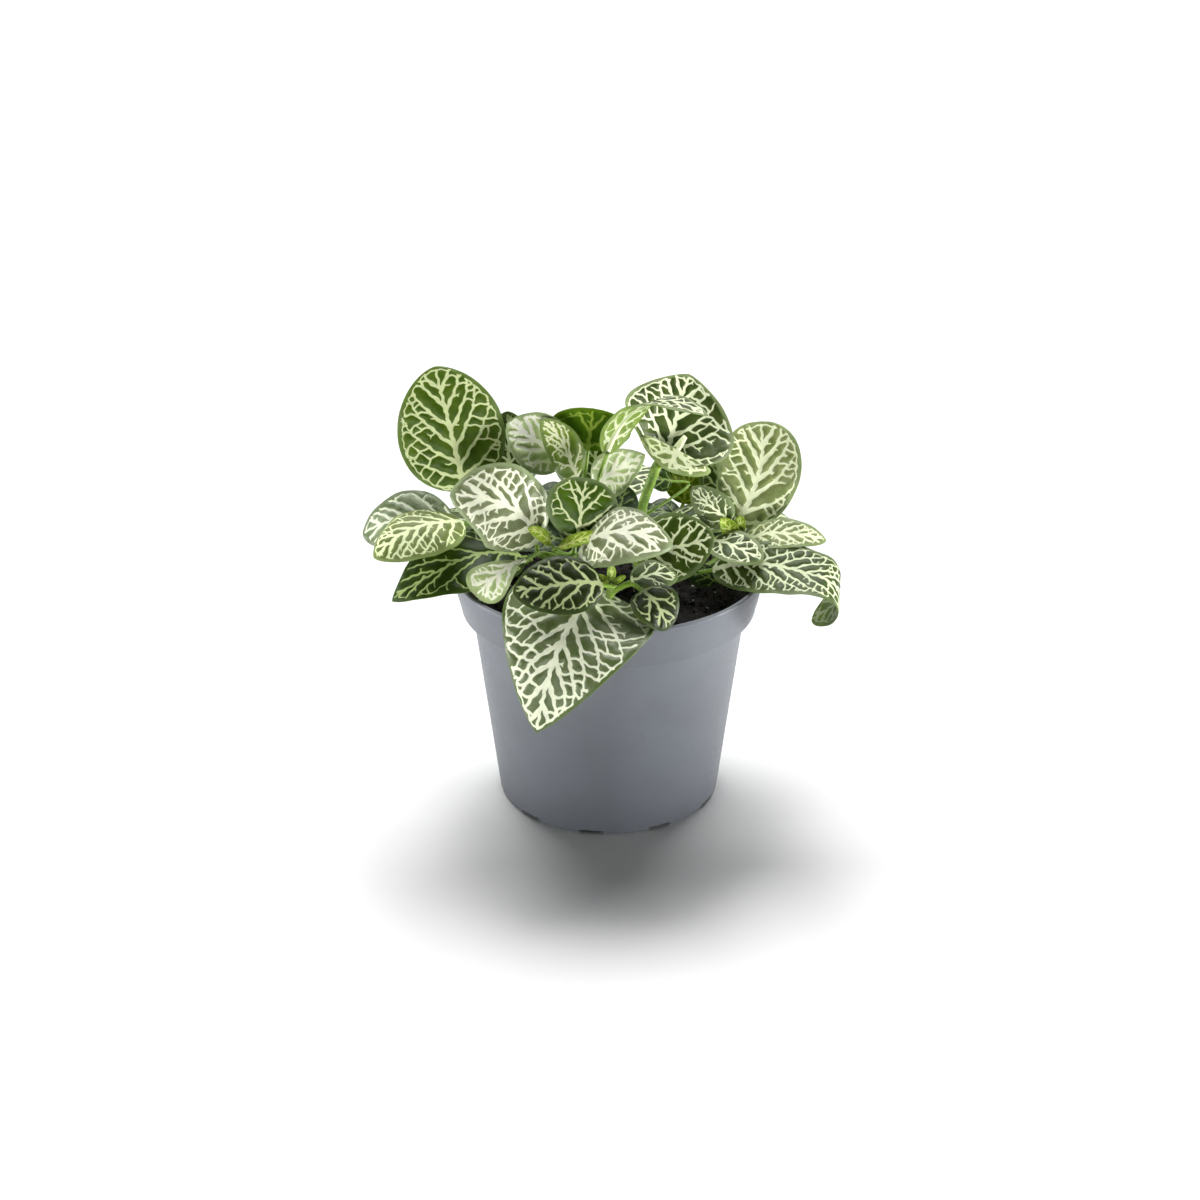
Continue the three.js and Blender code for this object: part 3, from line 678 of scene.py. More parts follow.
    def grow_free_tooth(self, start, out, reach):
        """A tooth with a free end, which often parts in two."""
        end = start + out * reach + np.array([0.15, 0]) * reach
        if self.room(end) < MARGIN_SHARE * self.border or reach < 0.5:
            return
        line = self.bow(start, start + out * reach * 0.6, end)
        self.lay(line, CROSS_HALF, FINE_HALF * 0.7, 1.5)
        if reach < FORK_REACH or self.rng.random() > FORK_SHARE:
            return
        fork = line[2 * len(line) // 3]
        for hand in (-1, 1):
            branch = swung(out, math.radians(self.rng.uniform(*FORK_LEAN)) * hand)
            tip = fork + branch * reach * self.rng.uniform(0.25, 0.4)
            if self.room(tip) > MARGIN_SHARE * self.border:
                middle = (fork + tip) / 2 + 0.1 * out
                self.lay(np.array([fork, middle, tip]), FINE_HALF, FINE_HALF * 0.6, 1.2)

    def grow_thorns(self, line):
        """Small free points along a vein."""
        if len(line) < 3 or not self.look.thorns:
            return
        spacing = np.linalg.norm(line[2] - line[1])
        place = 1 + self.rng.uniform(0, 2)
        while place < len(line) - 1:
            start = line[int(place)]
            way = unit(line[int(place) + 1] - start)
            hand = 1 if self.rng.random() < 0.5 else -1
            out = np.array([-way[1], way[0]]) * hand
            reach = self.rng.uniform(*THORN_REACH) * self.look.thorns
            end = start + (out + way * self.rng.uniform(0, 0.9)) * reach
            if self.room(end) > MARGIN_SHARE * self.border:
                self.lay(self.bow(start, (start + end) / 2 + self.rng.uniform(-0.2, 0.2, 2), end),
                         FINE_HALF * 0.9, FINE_HALF * 0.4, 1.4)
            place += self.rng.uniform(*THORN_SPACING) / spacing

    def clearance(self, u, v):
        """How far inside a vein each lattice point lies, in millimetres, and less than 0 outside."""
        half = self.blade.half_width(u)
        s = np.repeat(u[:, None] * self.length, len(v), 1)
        t = v[None, :] * half[:, None]
        s, t = s + 0.20 * np.sin(t * 1.7 + 1.3), t + 0.20 * np.sin(s * 1.9)
        points = np.stack([s.ravel(), t.ravel()], 1).astype(np.float32)
        result = np.full(len(points), -9.0, np.float32)
        for start, end, (first, last) in zip(self.starts, self.ends, self.radii):
            low, high = np.minimum(start, end) - VEIN_REACH, np.maximum(start, end) + VEIN_REACH
            near = np.nonzero(((points > low) & (points < high)).all(1))[0]
            if not len(near):
                continue
            way = end - start
            offset = points[near] - start
            share = np.clip(offset @ way / max(float(way @ way), 1e-9), 0, 1)
            distance = np.linalg.norm(offset - share[:, None] * way, axis=1)
            result[near] = np.maximum(result[near], first + (last - first) * share - distance)
        result = result.reshape(s.shape)
        if self.look.wash:
            lengthwise = np.sin(math.pi * np.clip(u, 0.02, 0.98)) ** 0.7
            result = result + self.look.wash * (np.exp(-(v[None, :] / 0.55) ** 2) * lengthwise[:, None])
        return np.clip(result, -3, 2)


def even(value):
    return max(6, 2 * round(value / 2))


def blade_patches(leaf, look, material, rng):
    """Upper side, under side and rounded rim of a blade. The under side has half the rows and columns."""
    blade = Blade(leaf)
    rows = even(blade.length * 1.32 / BLADE_SPACING)
    columns = even(leaf.width / BLADE_SPACING)
    place = np.linspace(0, 1, rows + 1)
    u = 0.25 * place + 0.75 * (1 - np.cos(math.pi * place)) / 2
    v = np.linspace(-1, 1, columns + 1)
    phase = rng.uniform(0, 6)
    inside = Veins(blade, look, rng).clearance(u, v)
    edge = (1 - np.abs(v))[None, :] * blade.half_width(u)[:, None]
    edge = np.minimum(edge, (1 - u)[:, None] * blade.length)
    quilt = look.quilt * min(1, leaf.width / 18)
    quilt = quilt * (1 - np.exp(-np.maximum(0, -inside) / 0.8)) * smooth(edge / 2.5)
    thickness = RIM_THICKNESS + (BLADE_THICKNESS - RIM_THICKNESS) * smooth(edge / 2)
    upper = blade.surface(u, v, quilt + thickness / 2, phase)
    lower = blade.surface(u, v, quilt - thickness / 2, phase)[::2, ::2]
    return [Patch(upper.reshape(-1, 3), grid_faces(rows, columns), material,
                  vein=inside.ravel(), rim=edge.ravel(), under=0.0),
            Patch(lower.reshape(-1, 3), grid_faces(rows // 2, columns // 2)[:, ::-1], material,
                  vein=inside[::2, ::2].ravel(), rim=edge[::2, ::2].ravel(), under=1.0),
            rim_patch(upper, lower, rows, columns, material)]


def rim_patch(upper, lower, rows, columns, material):
    """The rounded edge that joins both sides of a blade."""
    top = upper.reshape(-1, 3)[grid_rim(rows, columns)]
    bottom = lower.reshape(-1, 3)[grid_rim(rows // 2, columns // 2)]
    wide = np.repeat(bottom, 2, 0)
    wide[1::2] = (bottom + np.roll(bottom, -1, 0)) / 2
    run = unit(np.roll(top, -1, 0) - np.roll(top, 1, 0) + 1e-9)
    out = np.cross(run, unit(top - wide))
    middle = (top + wide) / 2 + out * RIM_THICKNESS * 0.42
    count = len(top)
    k = np.arange(count)
    following = (k + 1) % count
    pairs = np.arange(0, count, 2)
    first, second, third = pairs + count, pairs + 1 + count, (pairs + 2) % count + count
    low, low_next = pairs // 2 + 2 * count, (pairs // 2 + 1) % (count // 2) + 2 * count
    corners = ((k, k + count, following + count), (k, following + count, following),
               (first, low, second), (second, low, low_next), (second, low_next, third))
    faces = np.concatenate([np.stack(three, 1) for three in corners])
    return Patch(np.concatenate([top, middle, bottom]), faces, material, vein=-2.0, rim=0.0, under=0.5)


def petiole_patch(leaf, material, pale):
    """The stalk from inside the stem to under the blade, where it turns pale and becomes the ridge."""
    blade = Blade(leaf)
    radius = leaf.stalk
    places = np.array([0.0, 0.25 if radius == BUD_PETIOLE_RADIUS else 0.12])
    tangent, normal, _ = blade.frame(places)
    under = blade.centre(places) - normal * radius * 0.6
    start = np.array(leaf.start, float)
    bend = under[0] - tangent[0] * np.linalg.norm(under[0] - start) * 0.4
    stalk = curve_points([start, bend, under[0], under[1]], PETIOLE_RINGS)
    ridge_places = np.linspace(places[1], 0.6, RIDGE_RINGS + 1)[1:]
    _, ridge_normal, _ = blade.frame(ridge_places)
    ridge_depths = np.linspace(radius * 0.5, 0.2, RIDGE_RINGS)[:, None]
    ridge = blade.centre(ridge_places) - ridge_normal * ridge_depths
    end_radius = min(radius * 0.85, radius * 0.6 + 0.2)
    radii = np.concatenate([np.linspace(radius * 1.15, end_radius, PETIOLE_RINGS),
                            np.linspace(radius * 0.7, 0.15, RIDGE_RINGS)])
    points, faces = tube(np.concatenate([stalk, ridge]), radii, PETIOLE_SIDES)
    ring = np.append(np.repeat(np.arange(len(radii)), PETIOLE_SIDES), (0, len(radii) - 1))
    number = np.where(faces.min(1) >= leaf.pale_from * PETIOLE_SIDES, pale, material)
    vein = np.interp(ring, (leaf.pale_from, leaf.pale_from + 2), (-0.6, 1.0))
    return Patch(points, faces, number, vein=vein, rim=3.0, under=(ring > PETIOLE_RINGS) * 1.0), stalk


def hair_patch(line, radius, count, rng, material):
    """Short pale hairs that stand out from a stem or stalk."""
    tangents = unit(np.gradient(line, axis=0))
    points, faces = [], []
    for _ in range(count):
        place = rng.uniform(0, len(line) - 1.001)
        step = int(place)
        tangent = tangents[step]
        root = line[step] + (line[step + 1] - line[step]) * (place - step)
        away = np.cross(tangent, rng.standard_normal(3))
        away = away / max(np.linalg.norm(away), 1e-6)
        across = np.cross(away, tangent) * HAIR_HALF_WIDTH
        length = HAIR_LENGTH * rng.uniform(0.5, 1.1)
        tip = root + away * (radius + length) + tangent * rng.uniform(0, 0.4)
        foot = root + away * radius * 0.9
        first = len(points)
        points += [foot - across, foot + across, foot + tangent * HAIR_HALF_WIDTH * 1.6, tip]
        faces += [(first, first + 1, first + 3), (first + 1, first + 2, first + 3),
                  (first + 2, first, first + 3), (first, first + 2, first + 1)]
    return Patch(np.array(points), np.array(faces), material)


def stem_line(stem):
    x, y = stem["path"][0]
    upper = curve_points([(x, y, ROOT_TOP - 1)] + list(stem["path"][1:]), 26)
    root = np.array([(x, y, SOIL_LEVEL - ROOT_DEPTH + 0.2), (x, y, SOIL_LEVEL - 3), (x, y, ROOT_TOP - 2)])
    return np.concatenate([root, upper])


# Materials

def srgb(red, green, blue):
    """A linear colour from the 0 to 255 values of a screen colour."""
    def linear(value):
        value = value / 255
        return value / 12.92 if value <= 0.04045 else ((value + 0.055) / 1.055) ** 2.4
    return (linear(red), linear(green), linear(blue), 1)


class Nodes:
    """Short calls that add and link shader nodes."""

    def __init__(self, name):
        self.material = bpy.data.materials.new(name)
        self.material.use_nodes = True
        self.tree = self.material.node_tree
        self.shader = self.tree.nodes["Principled BSDF"]
        self.coordinates = self.new("ShaderNodeTexCoord").outputs["Object"]

    def new(self, kind, **sockets):
        node = self.tree.nodes.new(kind)
        self.fill(node, sockets)
        return node

    def fill(self, node, sockets):
        """Sets or links the node's sockets, whose names have _ for a space."""
        for name, value in sockets.items():
            self.link(value, node.inputs[name.replace("_", " ")])

    def link(self, source, target):
        if isinstance(source, (int, float, tuple)):
            target.default_value = source
        else:
            self.tree.links.new(source, target)

    def attribute(self, name):
        node = self.new("ShaderNodeAttribute")
        node.attribute_name = name
        return node.outputs["Fac"]

    def noise(self, scale, detail=3.0, roughness=0.55):
        return self.new("ShaderNodeTexNoise", Vector=self.coordinates, Scale=scale, Detail=detail,
                        Roughness=roughness).outputs["Fac"]

    def cells(self, scale):
        return self.new("ShaderNodeTexVoronoi", Vector=self.coordinates, Scale=scale).outputs["Distance"]

    def maths(self, operation, first, second):
        node = self.new("ShaderNodeMath")
        node.operation = operation
        self.link(first, node.inputs[0])
        self.link(second, node.inputs[1])
        return node.outputs[0]

    def ramp(self, value, low, high, bottom=0.0, top=1.0):
        node = self.new("ShaderNodeMapRange", Value=value, From_Min=low, From_Max=high, To_Min=bottom,
                        To_Max=top)
        node.interpolation_type = "SMOOTHSTEP"
        return node.outputs["Result"]

    def mix(self, share, first, second):
        node = self.new("ShaderNodeMix")
        node.data_type = "RGBA"
        for number, source in ((0, share), (6, first), (7, second)):
            self.link(source, node.inputs[number])
        return node.outputs[2]

    def bump(self, height, distance, strength=1.0, base=None):
        node = self.new("ShaderNodeBump", Height=height, Distance=distance, Strength=strength)
        if base is not None:
            self.link(base, node.inputs["Normal"])
        return node.outputs["Normal"]

    def finish(self, **sockets):
        self.fill(self.shader, sockets)
        return self.material


def leaf_material(name, look):
    nodes = Nodes("leaf_" + name)
    wobble = nodes.maths("MULTIPLY", nodes.maths("SUBTRACT", nodes.noise(1100, 2), 0.5), 0.22)
    inside = nodes.maths("ADD", nodes.attribute("vein"), wobble)
    vein = nodes.ramp(inside, -0.13, 0.11)
    halo = nodes.ramp(inside, -0.75, 0.0)
    patches = nodes.ramp(nodes.noise(160, 3), 0.35, 0.68)
    lamina = nodes.mix(patches, look.dark, look.light)
    grain = nodes.ramp(nodes.noise(3200, 3, 0.7), 0.42, 0.75, 0.0, 0.42)
    lamina = nodes.mix(grain, lamina, look.grain)
    lamina = nodes.mix(nodes.maths("MULTIPLY", halo, 0.22), lamina, look.grain)
    margin = nodes.ramp(nodes.attribute("rim"), 0.3, 2.9, look.edge, 0.0)
    lamina = nodes.mix(margin, lamina, look.margin)
    tint = nodes.ramp(nodes.noise(420, 3), 0.3, 0.75)
    vein_colour = nodes.mix(tint, look.vein, look.vein_dark)
    upper = nodes.mix(vein, lamina, vein_colour)
    lower_lamina = nodes.mix(patches, look.below, look.below_light)
    lower = nodes.mix(nodes.maths("MULTIPLY", vein, 0.75), lower_lamina, look.below_vein)
    colour = nodes.mix(nodes.attribute("under"), upper, lower)
    fine = nodes.maths("ADD", nodes.noise(2600, 4, 0.65), nodes.maths("MULTIPLY", nodes.cells(1900), 0.5))
    soft = nodes.bump(nodes.noise(700, 3), 0.0004, 0.35)
    return nodes.finish(Base_Color=colour, Normal=nodes.bump(fine, 0.00022, 0.4, soft),
                        Roughness=nodes.ramp(vein, 0, 1, look.gloss, look.gloss + 0.08),
                        Specular_IOR_Level=look.shine, Subsurface_Weight=look.glow,
                        Subsurface_Scale=0.0006, Subsurface_Radius=(0.9, 1.0, 0.35))


def stem_material():
    nodes = Nodes("stem")
    patches = nodes.ramp(nodes.noise(260, 4), 0.35, 0.7)
    colour = nodes.mix(patches, srgb(98, 134, 30), srgb(130, 162, 54))
    streak = nodes.ramp(nodes.noise(900, 3), 0.55, 0.75, 0.0, 0.5)
    colour = nodes.mix(streak, colour, srgb(168, 184, 116))
    return nodes.finish(Base_Color=colour, Roughness=0.5,
                        Normal=nodes.bump(nodes.noise(1500, 4), 0.0003, 0.6), Subsurface_Weight=0.1,
                        Subsurface_Scale=0.0008)


def hair_material():
    nodes = Nodes("hair")
    colour = nodes.mix(nodes.noise(800), srgb(196, 202, 170), srgb(228, 230, 206))
    return nodes.finish(Base_Color=colour, Roughness=0.6)


def pot_material():
    nodes = Nodes("pot_plastic")
    broad = nodes.ramp(nodes.noise(28, 3), 0.3, 0.7)
    colour = nodes.mix(broad, srgb(95, 99, 105), srgb(101, 105, 112))
    fine = nodes.ramp(nodes.noise(2400, 4, 0.7), 0.45, 0.8, 0.0, 0.25)
    colour = nodes.mix(fine, colour, srgb(108, 112, 119))
    dust = nodes.ramp(nodes.cells(330), 0.055, 0.09, 0.75, 0.0)
    rare = nodes.ramp(nodes.noise(75, 2), 0.60, 0.66)
    colour = nodes.mix(nodes.maths("MULTIPLY", dust, rare), colour, srgb(58, 50, 44))
    grain = nodes.bump(nodes.noise(1900, 5, 0.7), 0.00012, 0.5)
    waves = nodes.bump(nodes.noise(45, 2), 0.0006, 0.25, grain)
    return nodes.finish(Base_Color=colour, Normal=waves, Specular_IOR_Level=0.45,
                        Roughness=nodes.ramp(nodes.noise(600, 3), 0.2, 0.8, 0.40, 0.5))


def soil_material(name, dark, light):
    nodes = Nodes(name)
    colour = nodes.mix(nodes.ramp(nodes.noise(420, 5, 0.7), 0.35, 0.72), dark, light)
    return nodes.finish(Base_Color=colour, Roughness=0.85, Specular_IOR_Level=0.3,
                        Normal=nodes.bump(nodes.noise(1600, 5, 0.75), 0.0006, 0.9))


def floor_material():
    nodes = Nodes("floor")
    colour = nodes.mix(nodes.noise(3, 2), (0.96, 0.96, 0.96, 1), (0.98, 0.98, 0.98, 1))
    return nodes.finish(Base_Color=colour, Roughness=0.7, Specular_IOR_Level=0.2)


# The make of a leaf's veins: their width, spacing and angle from the midrib, how far they turn along the
# margin, their swell at the midrib, the spacing of the teeth, the share of teeth that close a cell, the
# share of the half width left open beside the midrib, the length of the thorns and the white centre. Then
# the quilting between veins, the strength of the margin's colour, the finish and the width of the margin.
LOOK_MAKE = dict(veins=1.0, gap=4.8, angle=42, arching=0.6, flare=0.15, mesh=0.75, closed=0.35, open=0.3,
                 thorns=0.7, wash=0.0, quilt=0.45, edge=0.6, gloss=0.4, shine=0.2, glow=0.1, border=1.0)


def look(dark, light, vein=(240, 245, 214), margin=(116, 134, 86), below=(98, 118, 52), **make):
    """A kind of leaf: screen colours between the veins, on them, at the margin and below, and its make."""
    def shade(colour, factor):
        return tuple(min(255, value * factor) for value in colour)
    colours = dict(dark=dark, light=light, grain=shade(light, 1.18), vein=vein, vein_dark=shade(vein, 0.94),
                   margin=margin, below=below, below_light=shade(below, 1.15), below_vein=shade(vein, 0.86))
    colours = {name: srgb(*colour) for name, colour in colours.items()}
    return SimpleNamespace(**{**LOOK_MAKE, **make, **colours})


LOOKS = {
    "dark": look(
        (47, 72, 2), (72, 101, 16), vein=(226, 236, 182), margin=(118, 134, 92), gap=4.2, angle=38,
        closed=0.4, edge=0.7, veins=0.85),
    "bold": look((42, 62, 6), (66, 84, 20), vein=(230, 238, 194), veins=1.05, gap=4.6, angle=44),
    "shaded": look(
        (18, 29, 0), (32, 42, 6), vein=(168, 180, 128), margin=(66, 84, 40), veins=1.05, gap=5.2,
        angle=44, edge=0.5),
    "glossy": look(
        (74, 90, 42), (101, 113, 76), vein=(236, 241, 212), margin=(80, 102, 46), veins=1.35, gap=4.8,
        angle=38, mesh=0.98, closed=1.0, open=0.12, quilt=0.55, gloss=0.36, shine=0.4, thorns=0.4),
    "mid": look(
        (44, 60, 12), (68, 84, 32), vein=(220, 230, 188), gap=4.4, angle=34, closed=0.7, open=0.2,
        mesh=0.85),
    "net": look(
        (46, 65, 15), (71, 86, 35), vein=(236, 244, 204), margin=(142, 158, 108), veins=1.15, gap=4.6,
        angle=40, mesh=0.9, closed=0.95, open=0.15, edge=0.75, thorns=0.4),
    "lobe": look(
        (104, 122, 62), (136, 152, 92), vein=(236, 244, 200), margin=(156, 174, 112), veins=1.3, gap=3.6,
        angle=50, closed=0.95, open=0.1, edge=0.85),
    "silver": look(
        (144, 161, 100), (178, 197, 136), vein=(247, 250, 224), margin=(136, 150, 108), veins=1.25,
        gap=4.4, angle=38, flare=0.7, edge=0.5, shine=0.35, closed=0.75, open=0.15),
    "white": look(
        (97, 107, 68), (118, 127, 90), vein=(236, 239, 212), margin=(136, 152, 110), veins=1.08, gap=4.2,
        angle=36, flare=0.8, wash=0.1, edge=0.7, shine=0.35, closed=0.7, open=0.15, mesh=0.7, border=1.5),
    "pale": look(
        (101, 116, 59), (131, 142, 89), vein=(238, 245, 204), margin=(138, 156, 108), veins=1.1, gap=4.0,
        angle=36, flare=0.5, wash=0.06, closed=0.7, edge=0.6, mesh=0.85),
    "light": look(
        (94, 109, 52), (118, 129, 76), vein=(230, 240, 190), margin=(134, 152, 92), gap=3.6, angle=36,
        flare=0.4, closed=0.6, edge=0.6, glow=0.2),
    "grey": look(
        (150, 168, 109), (196, 212, 158), vein=(254, 255, 238), margin=(116, 132, 96), veins=1.5, gap=4.2,
        angle=38, shine=0.4),
    "stripes": look(
        (90, 107, 67), (132, 145, 111), vein=(228, 234, 208), margin=(94, 108, 76), veins=1.2, gap=4.4,
        angle=40, mesh=1.2, open=0.6, thorns=0.3, shine=0.35),
    "fine": look(
        (103, 130, 37), (141, 165, 66), vein=(250, 254, 214), veins=1.1, gap=3.0, angle=26, thorns=0.4),
    "tip": look(
        (53, 66, 26), (75, 88, 44), vein=(228, 236, 196), margin=(120, 136, 92), veins=0.75, gap=2.8,
        angle=26, mesh=1.0, closed=0.4, thorns=0.3),
    # A low leaf under the others: lamina, veins and margin darkened as painted shade; its veins arch along
    # the margin.
    "arcs": look(
        (28, 46, 0), (44, 64, 4), vein=(168, 186, 116), margin=(58, 80, 26), veins=0.8, gap=4.6, angle=26,
        arching=0.8, mesh=1.1, thorns=0.3, edge=0.4),
    "bright": look(
        (60, 86, 7), (84, 110, 22), vein=(226, 237, 178), margin=(120, 142, 76), veins=1.1, gap=4.7,
        angle=42, arching=0.75, mesh=0.78, closed=1.0, open=0.3, quilt=0.5, glow=0.15, thorns=0.5),
    "backlit": look(
        (56, 90, 0), (82, 117, 0), vein=(158, 184, 72), margin=(98, 130, 16), veins=0.9, gap=5.6,
        angle=38, thorns=0.3, gloss=0.5, shine=0.1, glow=0.25, closed=0.8, open=0.2),
    # Leaves low inside the foliage: lamina, veins and margin darkened as painted shade, standing in for the
    # shade that falls there.
    "deep_painted_shade": look((20, 38, 4), (34, 56, 8), vein=(130, 150, 84), margin=(34, 56, 12), veins=0.65, gap=4.4),
    "olive": look(
        (86, 108, 0), (112, 132, 8), vein=(184, 196, 80), margin=(118, 136, 24), veins=0.8, gap=4.6,
        glow=0.2),
    "young": look(
        (104, 134, 20), (130, 158, 36), vein=(208, 220, 126), margin=(140, 166, 50), below=(140, 166, 50),
        veins=0.75, gap=3.0, angle=35, quilt=0.2, gloss=0.36, glow=0.2),
}


# Pieces of the plant

def add_shoot(name, stem, seed, materials, numbers):
    rng = np.random.default_rng(seed)
    line = stem_line(stem)
    steps = np.arange(len(line))
    radii = stem["radius"] * (1.04 - 0.16 * steps / len(line)) * (1 + 0.05 * np.sin(steps * 1.4))
    points, faces = tube(line, radii, STEM_SIDES, 0.02, rng)
    patches = [Patch(points, faces, numbers["stem"]),
               hair_patch(line[4:], stem["radius"] * 0.95, HAIRS_PER_STEM, rng, numbers["hair"])]
    for leaf in stem["leaves"]:
        patches += blade_patches(leaf, LOOKS[leaf.look], numbers[leaf.look], rng)
        stalk, way = petiole_patch(leaf, numbers["stem"], numbers[leaf.look])
        patches += [stalk, hair_patch(way, PETIOLE_RADIUS, HAIRS_PER_STALK, rng, numbers["hair"])]
    piece = mesh_object(name + "_leaves", patches, materials, ATTRIBUTES)
    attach(piece, "root")
    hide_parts(name)


def lathe_patch(profile, sides):
    """A closed body turned from a profile of radius and height that starts and ends on the axis."""
    turns = np.arange(sides) * 2 * math.pi / sides
    rings = [np.array([[radius * math.cos(turn), radius * math.sin(turn), height] for turn in turns])
             for radius, height in profile[1:-1]]
    return Patch(*ring_body(rings, (0, 0, profile[0][1]), (0, 0, profile[-1][1])))


def arc(centre_radius, centre_height, radius, start, end, steps):
    turns = np.radians(np.linspace(start, end, steps))
    return [(centre_radius + radius * math.cos(turn), centre_height + radius * math.sin(turn))
            for turn in turns]


def flank(radius, widening, height, rise, shares):
    """Points up a straight side that starts at a radius and height and widens as it rises."""
    return [(radius + widening * share, height + rise * share) for share in shares]


def pot_profile():
    """The outline from the middle of the foot up the outside, over the lip and down inside to the floor."""
    profile = [(0, 0), (BODY_FOOT_RADIUS - FOOT_NOTCH_LENGTH - 1, 0), (BODY_FOOT_RADIUS - 1.0, 0)]
    profile += arc(BODY_FOOT_RADIUS - FOOT_ROUND, FOOT_ROUND, FOOT_ROUND, -80, 0, 5)
    profile += flank(BODY_FOOT_RADIUS, BODY_TOP_RADIUS - BODY_FOOT_RADIUS, 0.6, BAND_FOOT - 0.8,
                     (0.02, 0.1, 0.3, 0.5, 0.7, 0.9, 0.985, 0.998))
    profile += arc(BAND_FOOT_RADIUS - BAND_ROUND, BAND_FOOT + BAND_ROUND, BAND_ROUND, -90, -5, 5)
    profile += flank(BAND_FOOT_RADIUS, LIP_RADIUS - BAND_FOOT_RADIUS - 0.35, BAND_FOOT + 0.9,
                     BAND_HEIGHT - 3.4, (0.02, 0.3, 0.6, 0.98))
    profile += arc(LIP_RADIUS - LIP_BEAD, POT_HEIGHT - LIP_BEAD, LIP_BEAD, -60, 200, 14)
    return profile + [
        (LIP_RADIUS - WALL - 0.9, POT_HEIGHT - 2.4), (BAND_FOOT_RADIUS - WALL + 0.1, BAND_FOOT + WALL + 1),
        (BAND_FOOT_RADIUS - WALL - 0.4, BAND_FOOT + WALL), (BODY_TOP_RADIUS - WALL, BAND_FOOT + WALL),
        (BODY_FOOT_RADIUS - WALL + 0.2, FLOOR_THICKNESS), (0, FLOOR_THICKNESS)]


def cut(piece, cutter):
    """Takes the cutter's bodies out of the piece."""
    modifier = piece.modifiers.new("cut", "BOOLEAN")
    modifier.operation = "DIFFERENCE"
    modifier.solver = "EXACT"
    modifier.object = cutter
    graph = bpy.context.evaluated_depsgraph_get()
    mesh = bpy.data.meshes.new_from_object(piece.evaluated_get(graph))
    piece.modifiers.clear()
    piece.data = mesh
    bpy.data.objects.remove(cutter)


def cutters(name, make):
    """One object with the same body at each place round the foot."""
    shape = bmesh.new()
    for notch in range(FOOT_NOTCHES):
        make(shape, math.radians(-90 + FOOT_NOTCH_START + notch * 360 / FOOT_NOTCHES))
    mesh = bpy.data.meshes.new(name)
    shape.to_mesh(mesh)
    shape.free()
    return link_object(name, mesh)


def notch_body(shape, turn):
    made = bmesh.ops.create_cube(shape, size=1)["verts"]
    size = (FOOT_NOTCH_LENGTH * 2 * MM, FOOT_NOTCH_WIDTH * MM, FOOT_NOTCH_DEPTH * 2 * MM)
    bmesh.ops.scale(shape, verts=made, vec=size)
    for vertex in made:
        vertex.co.xy = swung((vertex.co.x + BODY_FOOT_RADIUS * MM, vertex.co.y), turn)


def hole_body(shape, turn):
    made = bmesh.ops.create_cone(shape, cap_ends=True, segments=28, radius1=DRAIN_HOLE_RADIUS * MM,
                                 radius2=DRAIN_HOLE_RADIUS * MM, depth=20 * MM)["verts"]
    bmesh.ops.translate(shape, verts=made, vec=(DRAIN_CIRCLE_RADIUS * MM * math.cos(turn),
                                                DRAIN_CIRCLE_RADIUS * MM * math.sin(turn), 0))


def soften(piece, angle):
    """Smooth faces with hard edges where they meet at more than the angle in degrees."""
    shape = bmesh.new()
    shape.from_mesh(piece.data)
    bmesh.ops.triangulate(shape, faces=shape.faces)
    for face in shape.faces:
        face.smooth = True
    for edge in shape.edges:
        edge.smooth = len(edge.link_faces) == 2 and edge.calc_face_angle() < math.radians(angle)
    shape.to_mesh(piece.data)
    shape.free()


def add_pot():
    piece = mesh_object("pot_plastic_body", [lathe_patch(pot_profile(), POT_SIDES)], [])
    cut(piece, cutters("notches", notch_body))
    cut(piece, cutters("drains", hole_body))
    soften(piece, 38)
    piece.data.materials.clear()
    piece.data.materials.append(pot_material())
    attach(piece, "root")
    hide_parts("pot")


def soil_height(x, y, rim_radius):
    """The height of the soil's surface in millimetres, with its lumps and grain."""
    mound = SOIL_MOUND * (1 - (x * x + y * y) / (rim_radius * rim_radius))
    fine = math.sin(x * 0.31 + 1.1) * math.cos(y * 0.27 - 0.4)
    broad = math.sin(x * 0.13 - y * 0.19)
    grain = (noise.fractal(Vector((x * 0.55, y * 0.55, 3.7)), 0.9, 2.1, 4)
             + 0.6 * abs(noise.noise(Vector((x * 1.6, y * 1.6, 9.1)))))
    return SOIL_LEVEL + mound + SOIL_LUMP * (fine + 0.6 * broad) + SOIL_GRAIN * grain - 0.25


def soil_rim_radius():
    slope = (LIP_RADIUS - BAND_FOOT_RADIUS) / BAND_HEIGHT
    return BAND_FOOT_RADIUS - WALL - SOIL_GAP + (SOIL_LEVEL - BAND_FOOT) * slope * 0.5


def add_soil():
    rim_radius = soil_rim_radius()
    rings = [rim_radius * (1 - (1 - ring / SOIL_RINGS) ** 0.85) for ring in range(SOIL_RINGS, 0, -1)]
    inset = WALL + SOIL_GAP
    low, step = FLOOR_THICKNESS + SOIL_GAP, BAND_FOOT + WALL + SOIL_GAP
    profile = [(0, low), (BODY_FOOT_RADIUS - inset, low), (BODY_TOP_RADIUS - inset, step),
               (BAND_FOOT_RADIUS - inset - 0.1, step)]
    profile += [(radius, SOIL_LEVEL) for radius in rings] + [(0, SOIL_LEVEL)]
    patch = lathe_patch(profile, SOIL_SIDES)
    for place in patch.points:
        if place[2] > SOIL_LEVEL - 0.1:
            place[2] = soil_height(place[0], place[1], rim_radius)
    soil = mesh_object("soil_body", [patch], [soil_material("peat", srgb(10, 9, 8), srgb(28, 23, 20))])
    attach(soil, "root")
    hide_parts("soil")
    add_soil_litter(rim_radius)


def scatter(rng, rim_radius):
    """A random place on the soil's surface."""
    radius = rim_radius * math.sqrt(rng.random()) * SCATTER_SHARE
    turn = rng.random() * 2 * math.pi
    x, y = radius * math.cos(turn), radius * math.sin(turn)
    return x, y, soil_height(x, y, rim_radius)


